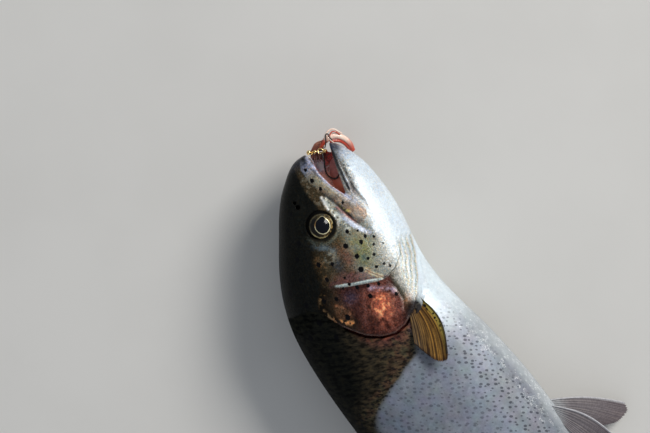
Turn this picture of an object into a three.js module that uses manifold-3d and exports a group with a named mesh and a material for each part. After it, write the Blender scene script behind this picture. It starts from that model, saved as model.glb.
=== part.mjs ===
// A life-size rainbow trout, lying on its left side with its mouth open and its back gently arched.
// Millimetres, +Z up. The snout points along +X, the back along +Y, the belly along -Y and the fish's right side up.
//
// Every piece is set out in the fish's own coordinates and then laid down:
//   x  distance behind the snout along the midline, z  height towards the back, w  distance to the right of the midline.
import * as THREE from "three";
import { mergeVertices } from "three/addons/utils/BufferGeometryUtils.js";
import Module from "manifold-3d";

const wasm = await Module();
wasm.setup();

// ---------- driving dimensions ----------
const GAP = 0.3; // clearance between neighbouring pieces
const FORK_LENGTH = 450; // snout to the fork of the tail
const ORIGIN = [-233.614, 5.549]; // shifts the laid-out fish so that its box stands centred on the origin

// The midline's heading against -X, in degrees, at distances behind the snout: the head is bowed towards the belly.
const HEADING = [[-20, 14], [55, 13], [105, -2], [150, -6], [240, -7], [330, -5], [400, -3], [480, -3]];
// Height of the midline above the floor.
const MID_HEIGHT = [[-20, 28.4], [190, 28.4], [230, 27.4], [270, 24.4], [310, 19.8], [350, 14.4], [385, 10.4], [410, 7.4], [430, 5], [450, 2.6], [480, -0.8]];
// Outline of the back and of the belly, in the side view.
const BACK = [[-1.5, -10], [0, -3], [1.5, 4.5], [3, 9], [6, 13], [12, 18], [20, 23.5], [30, 28.2], [40, 31.8], [57, 37.9], [75, 43.2], [90, 46], [110, 47.6], [146, 49.2], [180, 50.3], [215, 50], [255, 46.5], [300, 39], [340, 29.8], [375, 23], [400, 20.5], [418, 21.5], [430, 24]];
const BELLY = [[-1.5, -13], [0, -16], [2, -18.5], [5, -21.5], [9, -24.7], [17, -29.6], [26, -33.2], [34, -35.8], [42, -37.8], [52, -39.4], [65, -40.4], [80, -41], [104, -42.3], [126, -45], [150, -48], [180, -49.3], [205, -48.3], [240, -46.5], [280, -42], [315, -36.3], [345, -28.5], [375, -21.8], [400, -19.8], [418, -20.8], [430, -23]];
// Half width, the height where the fish is widest, and how square the section is above and below that height.
const HALF_WIDTH = [[-1.5, 2], [0, 6.5], [2, 9.3], [5, 11.8], [9, 14], [14, 15.9], [20, 17.6], [30, 19.8], [42, 22], [60, 25.2], [80, 27.8], [100, 28.9], [115, 28.9], [150, 29.2], [190, 29.3], [230, 27.6], [270, 24.2], [310, 19.2], [350, 13.6], [385, 9.6], [410, 6.8], [420, 4.4], [430, 1.6]];
const WIDEST_AT = [[-1.5, -12], [5, -8], [20, -7], [42, -7], [80, -7], [112, -4], [150, -1], [200, 0], [430, 0]];
const SQUARE_ABOVE = [[-1.5, 2.2], [20, 2.2], [42, 2.3], [100, 2.0], [200, 1.95], [430, 2]];
const SQUARE_BELOW = [[-1.5, 1.75], [30, 1.8], [60, 1.9], [110, 2.1], [200, 2.2], [430, 2]];

// Outlines in the side view (x, z).
const GAPE = [[-15, 5], [1, 2], [4, -0.6], [13.8, -2.7], [22.5, -6.9], [29.5, -12.4], [28.5, -13.2], [19.2, -13], [11.8, -12.9], [1.2, -13], [-15, -12.8]];
const LOWER_JAW = [[-15, -12], [28.8, -12.9], [44, -17.5], [54, -21.5], [59, -30], [62, -45], [62, -60], [-15, -60]];
const MAXILLA = [[4, 2.2], [10, 1.2], [16.2, -2.1], [24, -7.1], [32.2, -13.2], [39, -19.5], [42, -21], [45, -20.5], [47.5, -17.5], [47.2, -14.7], [44.8, -12], [38, -8.8], [31.5, -5.7], [24.2, -0.9], [17, 4], [9, 6.5], [4, 6]];
const GILL_COVER = [[75, 17], [78, 20.5], [83, 21], [89, 19], [95.5, 14.5], [104, 8], [110, 1], [112.6, -5.2], [112, -12], [108, -20], [102, -27], [93, -32], [79, -36.5], [68, -38], [71, -33], [78, -27], [83, -17.8], [80, -2.4], [76, 10.3]];
const GILL_LINE = [[80, 70], [80, 44], [81, 30], [84.5, 23.6], [90, 21], [97, 16.6], [106, 9.6], [111.6, 2.4], [114.4, -5], [113.6, -12.6], [109.6, -21.4], [103, -28.8], [94, -34], [79.5, -38.6], [66, -40.5], [62.5, -44], [62, -70]];
const DORSAL_CUT = 205; // the trunk's front length ends below the dorsal fin's first ray
const VENT_CUT = 318; // and its rear length just ahead of the anal fin
const COVER_DEPTH = 3; // thickness of a gill cover in the head
const EYE = { x: 42, z: 6, along: 9.1, across: 8.4, deep: 6.3, sunk: 3.4 };
const MOUTH = { x: 26, z: -9, long: 24, high: 11, wide: 11 };
const TONGUE = { x: 20, z: -13, long: 12, high: 6, wide: 2.9 };

// ---------- small tools ----------
function table(rows) {
  const xs = rows.map((r) => r[0]), ys = rows.map((r) => r[1]), n = xs.length;
  const h = [], d = [], m = new Array(n).fill(0);
  for (let i = 0; i < n - 1; i++) { h.push(xs[i + 1] - xs[i]); d.push((ys[i + 1] - ys[i]) / (xs[i + 1] - xs[i])); }
  for (let i = 1; i < n - 1; i++) if (d[i - 1] * d[i] > 0) {
    const a = 2 * h[i] + h[i - 1], b = h[i] + 2 * h[i - 1];
    m[i] = (a + b) / (a / d[i - 1] + b / d[i]);
  }
  m[0] = d[0]; m[n - 1] = d[n - 2];
  return (x) => {
    if (x <= xs[0]) return ys[0];
    if (x >= xs[n - 1]) return ys[n - 1];
    let i = 0;
    while (x > xs[i + 1]) i++;
    const t = (x - xs[i]) / h[i], u = t * t, v = u * t;
    return (2 * v - 3 * u + 1) * ys[i] + (v - 2 * u + t) * h[i] * m[i] + (3 * u - 2 * v) * ys[i + 1] + (v - u) * h[i] * m[i + 1];
  };
}
const heading = table(HEADING), midHeight = table(MID_HEIGHT), back = table(BACK), belly = table(BELLY);
const halfWidth = table(HALF_WIDTH), widestAt = table(WIDEST_AT), above = table(SQUARE_ABOVE), below = table(SQUARE_BELOW);
const mix = (a, b, t) => a + (b - a) * t;
const rad = (deg) => (deg * Math.PI) / 180;

// The midline, summed in 1 mm steps from the snout.
const LINE0 = -20, LINE1 = 481, line = [];
for (let x = LINE0, X = 0, Y = 0; x <= LINE1; x++) {
  const h = rad(heading(x + 0.5));
  line.push([X, Y]);
  X -= Math.cos(h); Y += Math.sin(h);
}
function lineAt(x) {
  const at = (s) => { const i = Math.min(Math.max(Math.floor(s - LINE0), 0), line.length - 2), f = s - LINE0 - i; return [mix(line[i][0], line[i + 1][0], f), mix(line[i][1], line[i + 1][1], f)]; };
  const p = at(x), o = at(0);
  return [p[0] - o[0], p[1] - o[1]];
}
// From the fish's coordinates to the floor's.
function laid(x, z, w) {
  const h = rad(heading(x)), [X, Y] = lineAt(x);
  return new THREE.Vector3(X + z * Math.sin(h) - ORIGIN[0], Y + z * Math.cos(h) - ORIGIN[1], midHeight(x) + w);
}
// How far the flank stands from the midline at a height z.
function flank(x, z) {
  const c = widestAt(x), top = back(x), foot = belly(x), up = z >= c;
  const t = Math.min(Math.abs(z - c) / (up ? top - c : c - foot), 1), n = up ? above(x) : below(x);
  return halfWidth(x) * Math.pow(Math.max(1 - Math.pow(t, n), 0), 1 / n);
}

function solid(geometry) {
  const g = geometry.index ? geometry.toNonIndexed() : geometry;
  const bare = new THREE.BufferGeometry().setAttribute("position", g.getAttribute("position"));
  const m = mergeVertices(bare, 1e-4);
  return new wasm.Manifold(new wasm.Mesh({ numProp: 3, vertProperties: new Float32Array(m.attributes.position.array), triVerts: new Uint32Array(m.index.array) }));
}
function geometryOf(s) {
  const m = s.getMesh(), v = new Float32Array(m.numVert * 3);
  for (let i = 0; i < m.numVert; i++) for (let k = 0; k < 3; k++) v[3 * i + k] = m.vertProperties[i * m.numProp + k];
  const g = new THREE.BufferGeometry().setAttribute("position", new THREE.BufferAttribute(v, 3)).setIndex(new THREE.BufferAttribute(new Uint32Array(m.triVerts), 1));
  g.computeVertexNormals();
  return g;
}
// A closed mesh from rings of points, each end closed to its middle.
function loft(rings) {
  const n = rings[0].length, v = [], f = [];
  rings.forEach((r) => r.forEach((p) => v.push(p.x, p.y, p.z)));
  for (let i = 0; i + 1 < rings.length; i++) for (let j = 0; j < n; j++) {
    const a = i * n + j, b = i * n + ((j + 1) % n), c = a + n, d = b + n;
    f.push(a, b, d, a, d, c);
  }
  [0, rings.length - 1].forEach((i, end) => {
    const mid = rings[i].reduce((s, p) => s.add(p), new THREE.Vector3()).divideScalar(n), k = v.length / 3;
    v.push(mid.x, mid.y, mid.z);
    for (let j = 0; j < n; j++) { const a = i * n + j, b = i * n + ((j + 1) % n); end ? f.push(a, b, k) : f.push(b, a, k); }
  });
  const g = new THREE.BufferGeometry().setAttribute("position", new THREE.BufferAttribute(new Float32Array(v), 3)).setIndex(f);
  const s = solid(g);
  if (s.volume() > 0) return s;
  for (let i = 0; i < f.length; i += 3) [f[i + 1], f[i + 2]] = [f[i + 2], f[i + 1]];
  return solid(g.setIndex(f));
}
// The fish's body with all its skin moved out by off.
function body(x0, x1, step, sides, off) {
  const rings = [], xs = [];
  for (const x of [-1.5, 0, 1.5, 3, 6, 9, 14, 20]) if (x >= x0 && x < x1) xs.push(x);
  for (let x = Math.max(x0, 27); x < x1 - step * 0.4; x += step) xs.push(x);
  xs.push(x1);
  for (const x of xs) {
    const ring = [], c = widestAt(x);
    for (let j = 0; j < sides; j++) {
      const a = (j / sides) * 2 * Math.PI, s = Math.sin(a), co = Math.cos(a), up = s >= 0, n = up ? above(x) : below(x);
      const z = c + (up ? back(x) + off - c : c - belly(x) + off) * Math.sign(s) * Math.pow(Math.abs(s), 2 / n);
      ring.push(laid(x + (x <= -1.5 ? -off : 0), z, (halfWidth(x) + off) * Math.sign(co) * Math.pow(Math.abs(co), 2 / n)));
    }
    rings.push(ring);
  }
  return loft(rings);
}
// A side-view outline extruded across the fish, between two heights above the floor.
function prism(outline, low = -20, high = 90) {
  const shape = new THREE.Shape(), pts = [];
  outline.forEach(([x, z], i) => {
    const [x2, z2] = outline[(i + 1) % outline.length], cuts = Math.max(1, Math.round(Math.abs(x2 - x) / 12));
    for (let k = 0; k < cuts; k++) pts.push(laid(mix(x, x2, k / cuts), mix(z, z2, k / cuts), 0));
  });
  pts.forEach((p, i) => (i ? shape.lineTo(p.x, p.y) : shape.moveTo(p.x, p.y)));
  shape.closePath();
  return solid(new THREE.ExtrudeGeometry(shape, { depth: high - low, bevelEnabled: false }).translate(0, 0, low));
}
// The outline moved out by off, corner by corner.
function grown(outline, off) {
  const n = outline.length;
  let area = 0;
  outline.forEach(([x, z], i) => { const [a, b] = outline[(i + 1) % n]; area += x * b - a * z; });
  const side = area > 0 ? 1 : -1;
  return outline.map(([x, z], i) => {
    const [px, pz] = outline[(i + n - 1) % n], [qx, qz] = outline[(i + 1) % n];
    const e = [x - px, z - pz], g = [qx - x, qz - z], le = Math.hypot(...e), lg = Math.hypot(...g);
    const nx = e[1] / le + g[1] / lg, nz = -e[0] / le - g[0] / lg, l = Math.hypot(nx, nz);
    const k = (side * off) / (Math.max((e[1] * nx - e[0] * nz) / (le * l), 0.4) * l);
    return [x + nx * k, z + nz * k];
  });
}
// An ellipsoid with its axes along the fish's own.
function ellipsoid(x, z, w, rx, rz, rw, wide = 18, high = 12) {
  const g = new THREE.SphereGeometry(1, wide, high), p = g.getAttribute("position");
  for (let i = 0; i < p.count; i++) {
    const q = laid(x, z, w), h = rad(heading(x)), a = p.getX(i) * rx, b = p.getZ(i) * rz, c = p.getY(i) * rw;
    p.setXYZ(i, q.x - a * Math.cos(h) + b * Math.sin(h), q.y + a * Math.sin(h) + b * Math.cos(h), q.z + c);
  }
  const s = solid(g.deleteAttribute("normal").deleteAttribute("uv"));
  if (s.volume() > 0) return s;
  const m = mergeVertices(g, 1e-4), f = Array.from(m.index.array);
  for (let i = 0; i < f.length; i += 3) [f[i + 1], f[i + 2]] = [f[i + 2], f[i + 1]];
  return solid(m.setIndex(f));
}
// A thin fin: at(u, v) gives the middle surface in the fish's coordinates, u across the rays and v out along them.
function fin(at, nu, nv, thick) {
  const grid = [];
  for (let i = 0; i <= nu; i++) { grid.push([]); for (let j = 0; j <= nv; j++) grid[i].push(laid(...at(i / nu, j / nv))); }
  const v = [], f = [], id = (i, j, s) => (s * (nu + 1) + i) * (nv + 1) + j;
  for (const s of [0, 1]) for (let i = 0; i <= nu; i++) for (let j = 0; j <= nv; j++) {
    const a = grid[Math.max(i - 1, 0)][j], b = grid[Math.min(i + 1, nu)][j], c = grid[i][Math.max(j - 1, 0)], d = grid[i][Math.min(j + 1, nv)];
    const n = b.clone().sub(a).cross(d.clone().sub(c)).normalize();
    const p = grid[i][j].clone().addScaledVector(n, (s ? 0.5 : -0.5) * thick(i / nu, j / nv));
    v.push(p.x, p.y, p.z);
  }
  const quad = (a, b, c, d) => f.push(a, b, c, a, c, d);
  for (let i = 0; i < nu; i++) for (let j = 0; j < nv; j++) {
    quad(id(i, j, 1), id(i + 1, j, 1), id(i + 1, j + 1, 1), id(i, j + 1, 1));
    quad(id(i, j, 0), id(i, j + 1, 0), id(i + 1, j + 1, 0), id(i + 1, j, 0));
  }
  for (let i = 0; i < nu; i++) { quad(id(i, 0, 0), id(i + 1, 0, 0), id(i + 1, 0, 1), id(i, 0, 1)); quad(id(i, nv, 0), id(i, nv, 1), id(i + 1, nv, 1), id(i + 1, nv, 0)); }
  for (let j = 0; j < nv; j++) { quad(id(0, j, 0), id(0, j, 1), id(0, j + 1, 1), id(0, j + 1, 0)); quad(id(nu, j, 0), id(nu, j + 1, 0), id(nu, j + 1, 1), id(nu, j, 1)); }
  const g = new THREE.BufferGeometry().setAttribute("position", new THREE.BufferAttribute(new Float32Array(v), 3)).setIndex(f);
  const s = solid(g);
  if (s.volume() > 0) return s;
  for (let i = 0; i < f.length; i += 3) [f[i + 1], f[i + 2]] = [f[i + 2], f[i + 1]];
  return solid(g.setIndex(f));
}
// A round wire or tube through points in the fish's coordinates.
function tube(points, radius, sides = 8, steps = 24) {
  const path = new THREE.CatmullRomCurve3(points.map((p) => laid(...p)));
  const section = new THREE.Shape();
  for (let i = 0; i < sides; i++) { const a = (i / sides) * 2 * Math.PI; i ? section.lineTo(radius * Math.cos(a), radius * Math.sin(a)) : section.moveTo(radius, 0); }
  section.closePath();
  return solid(new THREE.ExtrudeGeometry(section, { steps, bevelEnabled: false, extrudePath: path }));
}
const biggest = (s) => s.decompose().sort((a, b) => b.volume() - a.volume())[0];

// ---------- the body, parted by thin cuts ----------
const HEAD_SIDES = 28, TRUNK_SIDES = 24;
const floor = prism([[-60, -200], [520, -200], [520, 200], [-60, 200]], -60, 0);
const headSkin = body(-1.5, 124, 8, HEAD_SIDES, 0);
const headOut = body(-1.5, 124, 12, HEAD_SIDES, 0.8);
const headIn = body(-1.5, 124, 12, HEAD_SIDES, -COVER_DEPTH);
const headInner = body(-1.5, 124, 12, HEAD_SIDES, -COVER_DEPTH - GAP);
const trunkSkin = body(60, 430, 14, TRUNK_SIDES, 0);

const inFront = [[-40, 70], ...GILL_LINE, [-40, -70]];
const behind = [...grown(inFront, GAP).slice(1, -1), [500, -70], [500, 70]];
const gape = prism(GAPE), jawRegion = prism(LOWER_JAW), jawRoom = prism(grown(LOWER_JAW, GAP));
const cavity = ellipsoid(MOUTH.x, MOUTH.z, 0, MOUTH.long, MOUTH.high, MOUTH.wide, 14, 9);
const tongue = ellipsoid(TONGUE.x, TONGUE.z, 0, TONGUE.long, TONGUE.high, TONGUE.wide, 14, 8);
const tongueRoom = ellipsoid(TONGUE.x, TONGUE.z, 0, TONGUE.long + GAP, TONGUE.high + GAP, TONGUE.wide + GAP, 14, 8);
const MID = midHeight(0);

const parts = {};
let head = headSkin.intersect(prism(inFront)).subtract(jawRoom).subtract(gape).subtract(cavity);
for (const [side, low, high] of [["right", MID + 3, 90], ["left", -20, MID - 3]]) {
  const cover = headOut.intersect(prism(GILL_COVER, low, high)).subtract(headIn).subtract(floor);
  const room = prism(grown(GILL_COVER, GAP), low, high).subtract(headInner);
  parts["gill_cover_" + side] = biggest(cover);
  head = head.subtract(room);
  const plate = headOut.intersect(prism(MAXILLA, low, high)).subtract(body(-1.5, 124, 12, HEAD_SIDES, -1.5));
  parts["maxilla_" + side] = biggest(plate.subtract(gape));
}
const maxillaRoom = prism(grown(MAXILLA, GAP)).subtract(body(-1.5, 124, 12, HEAD_SIDES, -1.5 - GAP));
head = head.subtract(maxillaRoom);
parts.lower_jaw = biggest(headSkin.intersect(jawRegion).subtract(gape).subtract(cavity).subtract(maxillaRoom).subtract(tongueRoom));
parts.tongue = tongue;
for (const [side, sign] of [["right", 1], ["left", -1]]) {
  const w = sign * (flank(EYE.x, EYE.z) - EYE.sunk);
  parts["eye_" + side] = ellipsoid(EYE.x, EYE.z, w, EYE.along, EYE.across, EYE.deep, 14, 9);
  head = head.subtract(ellipsoid(EYE.x, EYE.z, w, EYE.along + GAP, EYE.across + GAP, EYE.deep + GAP, 14, 9));
}
parts.head = biggest(head.subtract(floor));

const coverRoom = prism(grown(GILL_COVER, GAP)).subtract(headInner);
const trunk = trunkSkin.intersect(prism(behind)).subtract(coverRoom).subtract(floor);
const slice = (x0, x1) => prism([[x0, -90], [x1, -90], [x1, 90], [x0, 90]]);
parts.trunk_front = biggest(trunk.intersect(slice(40, DORSAL_CUT - GAP / 2)));
parts.trunk_rear = biggest(trunk.intersect(slice(DORSAL_CUT + GAP / 2, VENT_CUT - GAP / 2)));
parts.tail_stalk = biggest(trunk.intersect(slice(VENT_CUT + GAP / 2, 470)));

// ---------- fins ----------
const bodyRoom = body(60, 430, 14, TRUNK_SIDES, GAP);
const headRoom = headOut.add(body(-1.5, 124, 7, HEAD_SIDES, GAP));
const attach = (s) => biggest(s.subtract(bodyRoom).subtract(headRoom).subtract(floor));
const bell = (u, a, b, c) => (u < 0.5 ? mix(a, b, Math.sin(u * Math.PI)) : mix(c, b, Math.sin(u * Math.PI)));

// Dorsal fin: a short first ray, the longest a third of the way back, then falling away.
const DORSAL = { from: 206, to: 257, lengths: [[0, 22], [0.12, 40], [0.25, 49], [0.5, 42], [0.75, 33], [1, 25]], lean: [62, 34], droop: 0.1 };
// Anal fin, under the rear of the trunk.
const ANAL = { from: 321, to: 362, lengths: [[0, 24], [0.15, 40], [0.3, 43], [0.6, 31], [1, 17]], lean: [60, 30], droop: 0.06 };
function medianFin(spec, edge, sign) {
  const len = table(spec.lengths);
  return fin((u, v) => {
    const x0 = mix(spec.from, spec.to, u), a = rad(mix(spec.lean[0], spec.lean[1], u)) , l = len(u) * v, curl = 1 - 0.16 * v;
    return [x0 + l * Math.cos(a * curl), edge(x0) - sign * 4 + sign * (l + 4 * (1 - v)) * Math.sin(a * curl) + sign * 4 * v, -spec.droop * l * v];
  }, 8, 4, (u, v) => mix(2.2, 0.8, Math.min(1, v * 1.4)));
}
parts.dorsal_fin = attach(medianFin(DORSAL, back, 1));
parts.anal_fin = attach(medianFin(ANAL, belly, -1));
// Adipose fin: a small fleshy lobe.
parts.adipose_fin = attach(fin((u, v) => [mix(358, 368, u) + v * mix(15, 9, u), back(mix(358, 368, u)) - 2 + v * mix(12, 7, u), 0], 4, 4, (u, v) => mix(2.6, 1, v)));
// Tail fin: rays fanned from the tail stalk, slightly forked.
const TAIL = { base: 20, spread: 28, mid: 21, outer: 54, root: 414 };
parts.caudal_fin = attach(fin((u, v) => {
  const s = 1 - 2 * u, a = rad(TAIL.spread * s), l = (mix(TAIL.mid, TAIL.outer, Math.pow(Math.abs(s), 1.6)) + 12) * v, x = TAIL.root + 3 * (1 - s * s);
  return [x + l * Math.cos(a), TAIL.base * s + l * Math.sin(a), 0];
}, 12, 4, (u, v) => mix(3.2, 0.8, Math.min(1, v * 1.5))));
// Paired fins: each ray runs from a short base line to its tip, bowed by bow; lift carries it away from the body.
function pairedFin(spec, sign) {
  const tipX = table(spec.tips.map((r) => [r[0], r[1]])), tipZ = table(spec.tips.map((r) => [r[0], r[2]]));
  return fin((u, v) => {
    const bx = mix(spec.base[0][0], spec.base[1][0], u), bz = mix(spec.base[0][1], spec.base[1][1], u);
    const tx = tipX(u), tz = tipZ(u), b = spec.bow * Math.sin(v * Math.PI) * (1 - u), l = Math.hypot(tx - bx, tz - bz);
    const x = mix(bx, tx, v) + (b * (tz - bz)) / l, z = mix(bz, tz, v) - (b * (tx - bx)) / l;
    return [x, z, sign * (mix(spec.root[0], spec.root[1], u) + l * v * Math.sin(rad(sign > 0 ? spec.lift : spec.fold)) - (spec.cup || 0) * Math.sin(u * Math.PI) * v)];
  }, 7, 4, (u, v) => mix(mix(2.4, 1.4, u), 0.7, Math.min(1, v * 1.2)));
}
const PECTORAL = { base: [[103.5, -26.3], [107.5, -18.5]], tips: [[0, 141, -21], [0.15, 144, -18.5], [0.4, 141.5, -14.3], [0.7, 133.5, -11.5], [1, 125.5, -10]], bow: 6, root: [20.5, 24.5], lift: 22, fold: 2, cup: 2 };
parts.pectoral_fin_right = attach(pairedFin(PECTORAL, 1));
const PECTORAL_LEFT = { base: [[104, -27], [108, -19]], tips: [[0, 141, -38], [0.2, 146, -34.5], [0.45, 144, -29], [0.75, 136, -24], [1, 128, -20]], bow: 4, root: [20.5, 24], lift: 0, fold: 3.5, cup: -2 };
parts.pectoral_fin_left = attach(pairedFin(PECTORAL_LEFT, -1));
const PELVIC = { base: [[202, -45.5], [211.5, -44.5]], tips: [[0, 239, -63.5], [0.2, 245, -61], [0.5, 246, -54.5], [0.8, 242, -49.5], [1, 237, -47]], bow: 4.2, root: [6.5, 9], lift: 14, fold: 21, cup: 1 };
const PELVIC_LEFT = { base: [[200.5, -46.5], [210, -46]], tips: [[0, 232, -79.5], [0.2, 237, -77.5], [0.5, 238, -70], [0.8, 235, -63], [1, 231, -57]], bow: 2.5, root: [6, 8.5], lift: 12, fold: 21, cup: 1 };
parts.pelvic_fin_right = attach(pairedFin(PELVIC, 1));
parts.pelvic_fin_left = attach(pairedFin(PELVIC_LEFT, -1));

// ---------- the angler's fly in its mouth ----------
const HOOK = [[3.4, -7.6, 2.4], [8, -7.2, 3.2], [12.5, -6.2, 3.8], [16.2, -6.4, 4.2], [19, -8.6, 4.4], [19.3, -11.2, 4.2], [17.2, -13, 3.8]];
const STRAP = [[-2, -10.6, -2.4], [-3.7, -13.6, -3], [-3.7, -17, -4], [-2, -20.3, -5.6], [0.7, -23.2, -7.6], [4.2, -25.1, -10], [8.6, -25.6, -12.6]];
const LOOP = [[-3.3, -11, 0.4], [-6, -12.8, 0], [-7.7, -15.4, -0.6], [-7.4, -18, -1.4], [-5.4, -20, -2.6], [-3.6, -21.6, -4.2]];
const HACKLE = { from: [0.4, -9.6], to: [0.9, 0.2], out: [-3.8, -0.6], w: -2.3, thick: 1.3 };
const BEADS = [[0.6, -0.4, 0.6, 1.4], [1.4, -4, 1, 1.1], [2.8, -9.6, 1.8, 1.2]];
const EYELET = { x: 1.9, z: -7, w: 1.9, r: 1.5, wire: 0.4 };
parts.fly_hook = tube(HOOK, 0.55, 6, 20);
parts.fly_strap = tube(STRAP, 1.9, 9, 14);
parts.fly_loop = tube(LOOP, 0.5, 6, 16);
parts.fly_hackle = biggest(fin((u, v) => [mix(HACKLE.from[0], HACKLE.to[0], u) + HACKLE.out[0] * v * Math.sin(Math.PI * mix(0.2, 0.8, u)), mix(HACKLE.from[1], HACKLE.to[1], u) + HACKLE.out[1] * v, HACKLE.w - v], 5, 3, () => HACKLE.thick).subtract(tube(STRAP, 2.2, 9, 14)));
const bead = ([x, z, w, r]) => ellipsoid(x, z, w, r, r, r, 8, 5);
const beadWire = tube([[0.6, -0.4, 0.6], [1.4, -4, 1], [1.9, -5.4, 1.4]], 0.45, 6, 6).add(tube([[2.3, -8.5, 2], [2.8, -9.6, 1.8]], 0.45, 6, 2));
const ringPoints = (r) => Array.from({ length: 10 }, (_, i) => [EYELET.x + r * Math.cos((i / 10) * 2 * Math.PI), EYELET.z + r * Math.sin((i / 10) * 2 * Math.PI)]);
const eyelet = prism(ringPoints(EYELET.r + EYELET.wire), MID + EYELET.w - EYELET.wire, MID + EYELET.w + EYELET.wire).subtract(prism(ringPoints(EYELET.r - EYELET.wire), 0, 60));
parts.fly_beads = biggest(BEADS.map(bead).reduce((a, b) => a.add(b)).add(beadWire).add(eyelet).subtract(tube(HOOK, 0.55 + GAP, 6, 20)));

// ---------- materials and assembly ----------
const LOOKS = {
  olive: new THREE.MeshStandardMaterial({ color: 0x4a4a33, roughness: 0.35, metalness: 0.1 }),
  silver: new THREE.MeshStandardMaterial({ color: 0xa9adab, roughness: 0.3, metalness: 0.2 }),
  red: new THREE.MeshStandardMaterial({ color: 0x8e4438, roughness: 0.35, metalness: 0.1 }),
  pale: new THREE.MeshStandardMaterial({ color: 0xd3d6d8, roughness: 0.35, metalness: 0.05 }),
  tan: new THREE.MeshStandardMaterial({ color: 0x8a7444, roughness: 0.4, metalness: 0 }),
  grey: new THREE.MeshStandardMaterial({ color: 0x7d7a72, roughness: 0.4, metalness: 0 }),
  eye: new THREE.MeshStandardMaterial({ color: 0x1b1c18, roughness: 0.08, metalness: 0 }),
  flesh: new THREE.MeshStandardMaterial({ color: 0xb56a55, roughness: 0.3, metalness: 0 }),
  steel: new THREE.MeshStandardMaterial({ color: 0x3b372f, roughness: 0.3, metalness: 0.9 }),
  brass: new THREE.MeshStandardMaterial({ color: 0xb89a48, roughness: 0.25, metalness: 1 }),
  brown: new THREE.MeshStandardMaterial({ color: 0x7a3d24, roughness: 0.6, metalness: 0 }),
  orange: new THREE.MeshStandardMaterial({ color: 0xd0613a, roughness: 0.3, metalness: 0 }),
};
const look = (n) => n.startsWith("eye") ? "eye" : n.startsWith("gill") ? "red" : n === "lower_jaw" ? "pale" : n.startsWith("maxilla") ? "tan"
  : n.startsWith("pectoral") ? "tan" : n.endsWith("fin") || n.startsWith("pelvic") ? "grey" : n === "tongue" ? "flesh" : n === "fly_hook" ? "steel" : n === "fly_beads" ? "brass" : n === "fly_hackle" ? "brown" : n.startsWith("fly") ? "orange"
  : n === "head" ? "olive" : "silver";
const trout = new THREE.Group();
for (const [name, s] of Object.entries(parts)) {
  const mesh = new THREE.Mesh(geometryOf(s), LOOKS[look(name)]);
  mesh.name = name;
  trout.add(mesh);
}
export default trout;
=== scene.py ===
"""Looks of a life-size rainbow trout lying on its left side on a pale floor, with an angler's fly in its open mouth."""
import bpy
import math
import numpy as np
from mathutils import Matrix, Vector


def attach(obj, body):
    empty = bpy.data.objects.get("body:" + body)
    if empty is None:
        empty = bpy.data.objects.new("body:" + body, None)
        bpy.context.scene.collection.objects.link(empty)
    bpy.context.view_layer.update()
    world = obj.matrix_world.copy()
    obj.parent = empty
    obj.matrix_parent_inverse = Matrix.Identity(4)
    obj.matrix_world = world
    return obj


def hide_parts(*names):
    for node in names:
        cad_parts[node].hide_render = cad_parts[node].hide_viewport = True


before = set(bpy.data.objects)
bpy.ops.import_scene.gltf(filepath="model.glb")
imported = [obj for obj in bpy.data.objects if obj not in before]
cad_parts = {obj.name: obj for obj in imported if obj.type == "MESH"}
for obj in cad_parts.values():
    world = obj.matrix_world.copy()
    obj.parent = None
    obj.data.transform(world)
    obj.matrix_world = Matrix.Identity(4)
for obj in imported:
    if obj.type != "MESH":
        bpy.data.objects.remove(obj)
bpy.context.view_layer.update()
MM = 0.001

# ---------------------------------------------------------------- the fish's own measures, in mm
# x behind the snout along the midline, z towards the back, w towards the fish's right side, which faces up
ORIGIN = (-233.614, 5.549)
HEADING = [[-20, 14], [55, 13], [105, -2], [150, -6], [240, -7], [330, -5], [400, -3], [480, -3]]
MID_HEIGHT = [[-20, 28.4], [190, 28.4], [230, 27.4], [270, 24.4], [310, 19.8], [350, 14.4], [385, 10.4], [410, 7.4], [430, 5], [450, 2.6], [480, -0.8]]
BACK = [[-1.5, -10], [0, -3], [1.5, 4.5], [3, 9], [6, 13], [12, 18], [20, 23.5], [30, 28.2], [40, 31.8], [57, 37.9], [75, 43.2], [90, 46], [110, 47.6], [146, 49.2], [180, 50.3], [215, 50], [255, 46.5], [300, 39], [340, 29.8], [375, 23], [400, 20.5], [418, 21.5], [430, 24]]
BELLY = [[-1.5, -13], [0, -16], [2, -18.5], [5, -21.5], [9, -24.7], [17, -29.6], [26, -33.2], [34, -35.8], [42, -37.8], [52, -39.4], [65, -40.4], [80, -41], [104, -42.3], [126, -45], [150, -48], [180, -49.3], [205, -48.3], [240, -46.5], [280, -42], [315, -36.3], [345, -28.5], [375, -21.8], [400, -19.8], [418, -20.8], [430, -23]]
HALF_WIDTH = [[-1.5, 2], [0, 6.5], [2, 9.3], [5, 11.8], [9, 14], [14, 15.9], [20, 17.6], [30, 19.8], [42, 22], [60, 25.2], [80, 27.8], [100, 28.9], [115, 28.9], [150, 29.2], [190, 29.3], [230, 27.6], [270, 24.2], [310, 19.2], [350, 13.6], [385, 9.6], [410, 6.8], [420, 4.4], [430, 1.6]]
WIDEST_AT = [[-1.5, -12], [5, -8], [20, -7], [42, -7], [80, -7], [112, -4], [150, -1], [200, 0], [430, 0]]
SQUARE_ABOVE = [[-1.5, 2.2], [20, 2.2], [42, 2.3], [100, 2.0], [200, 1.95], [430, 2]]
SQUARE_BELOW = [[-1.5, 1.75], [30, 1.8], [60, 1.9], [110, 2.1], [200, 2.2], [430, 2]]

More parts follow.
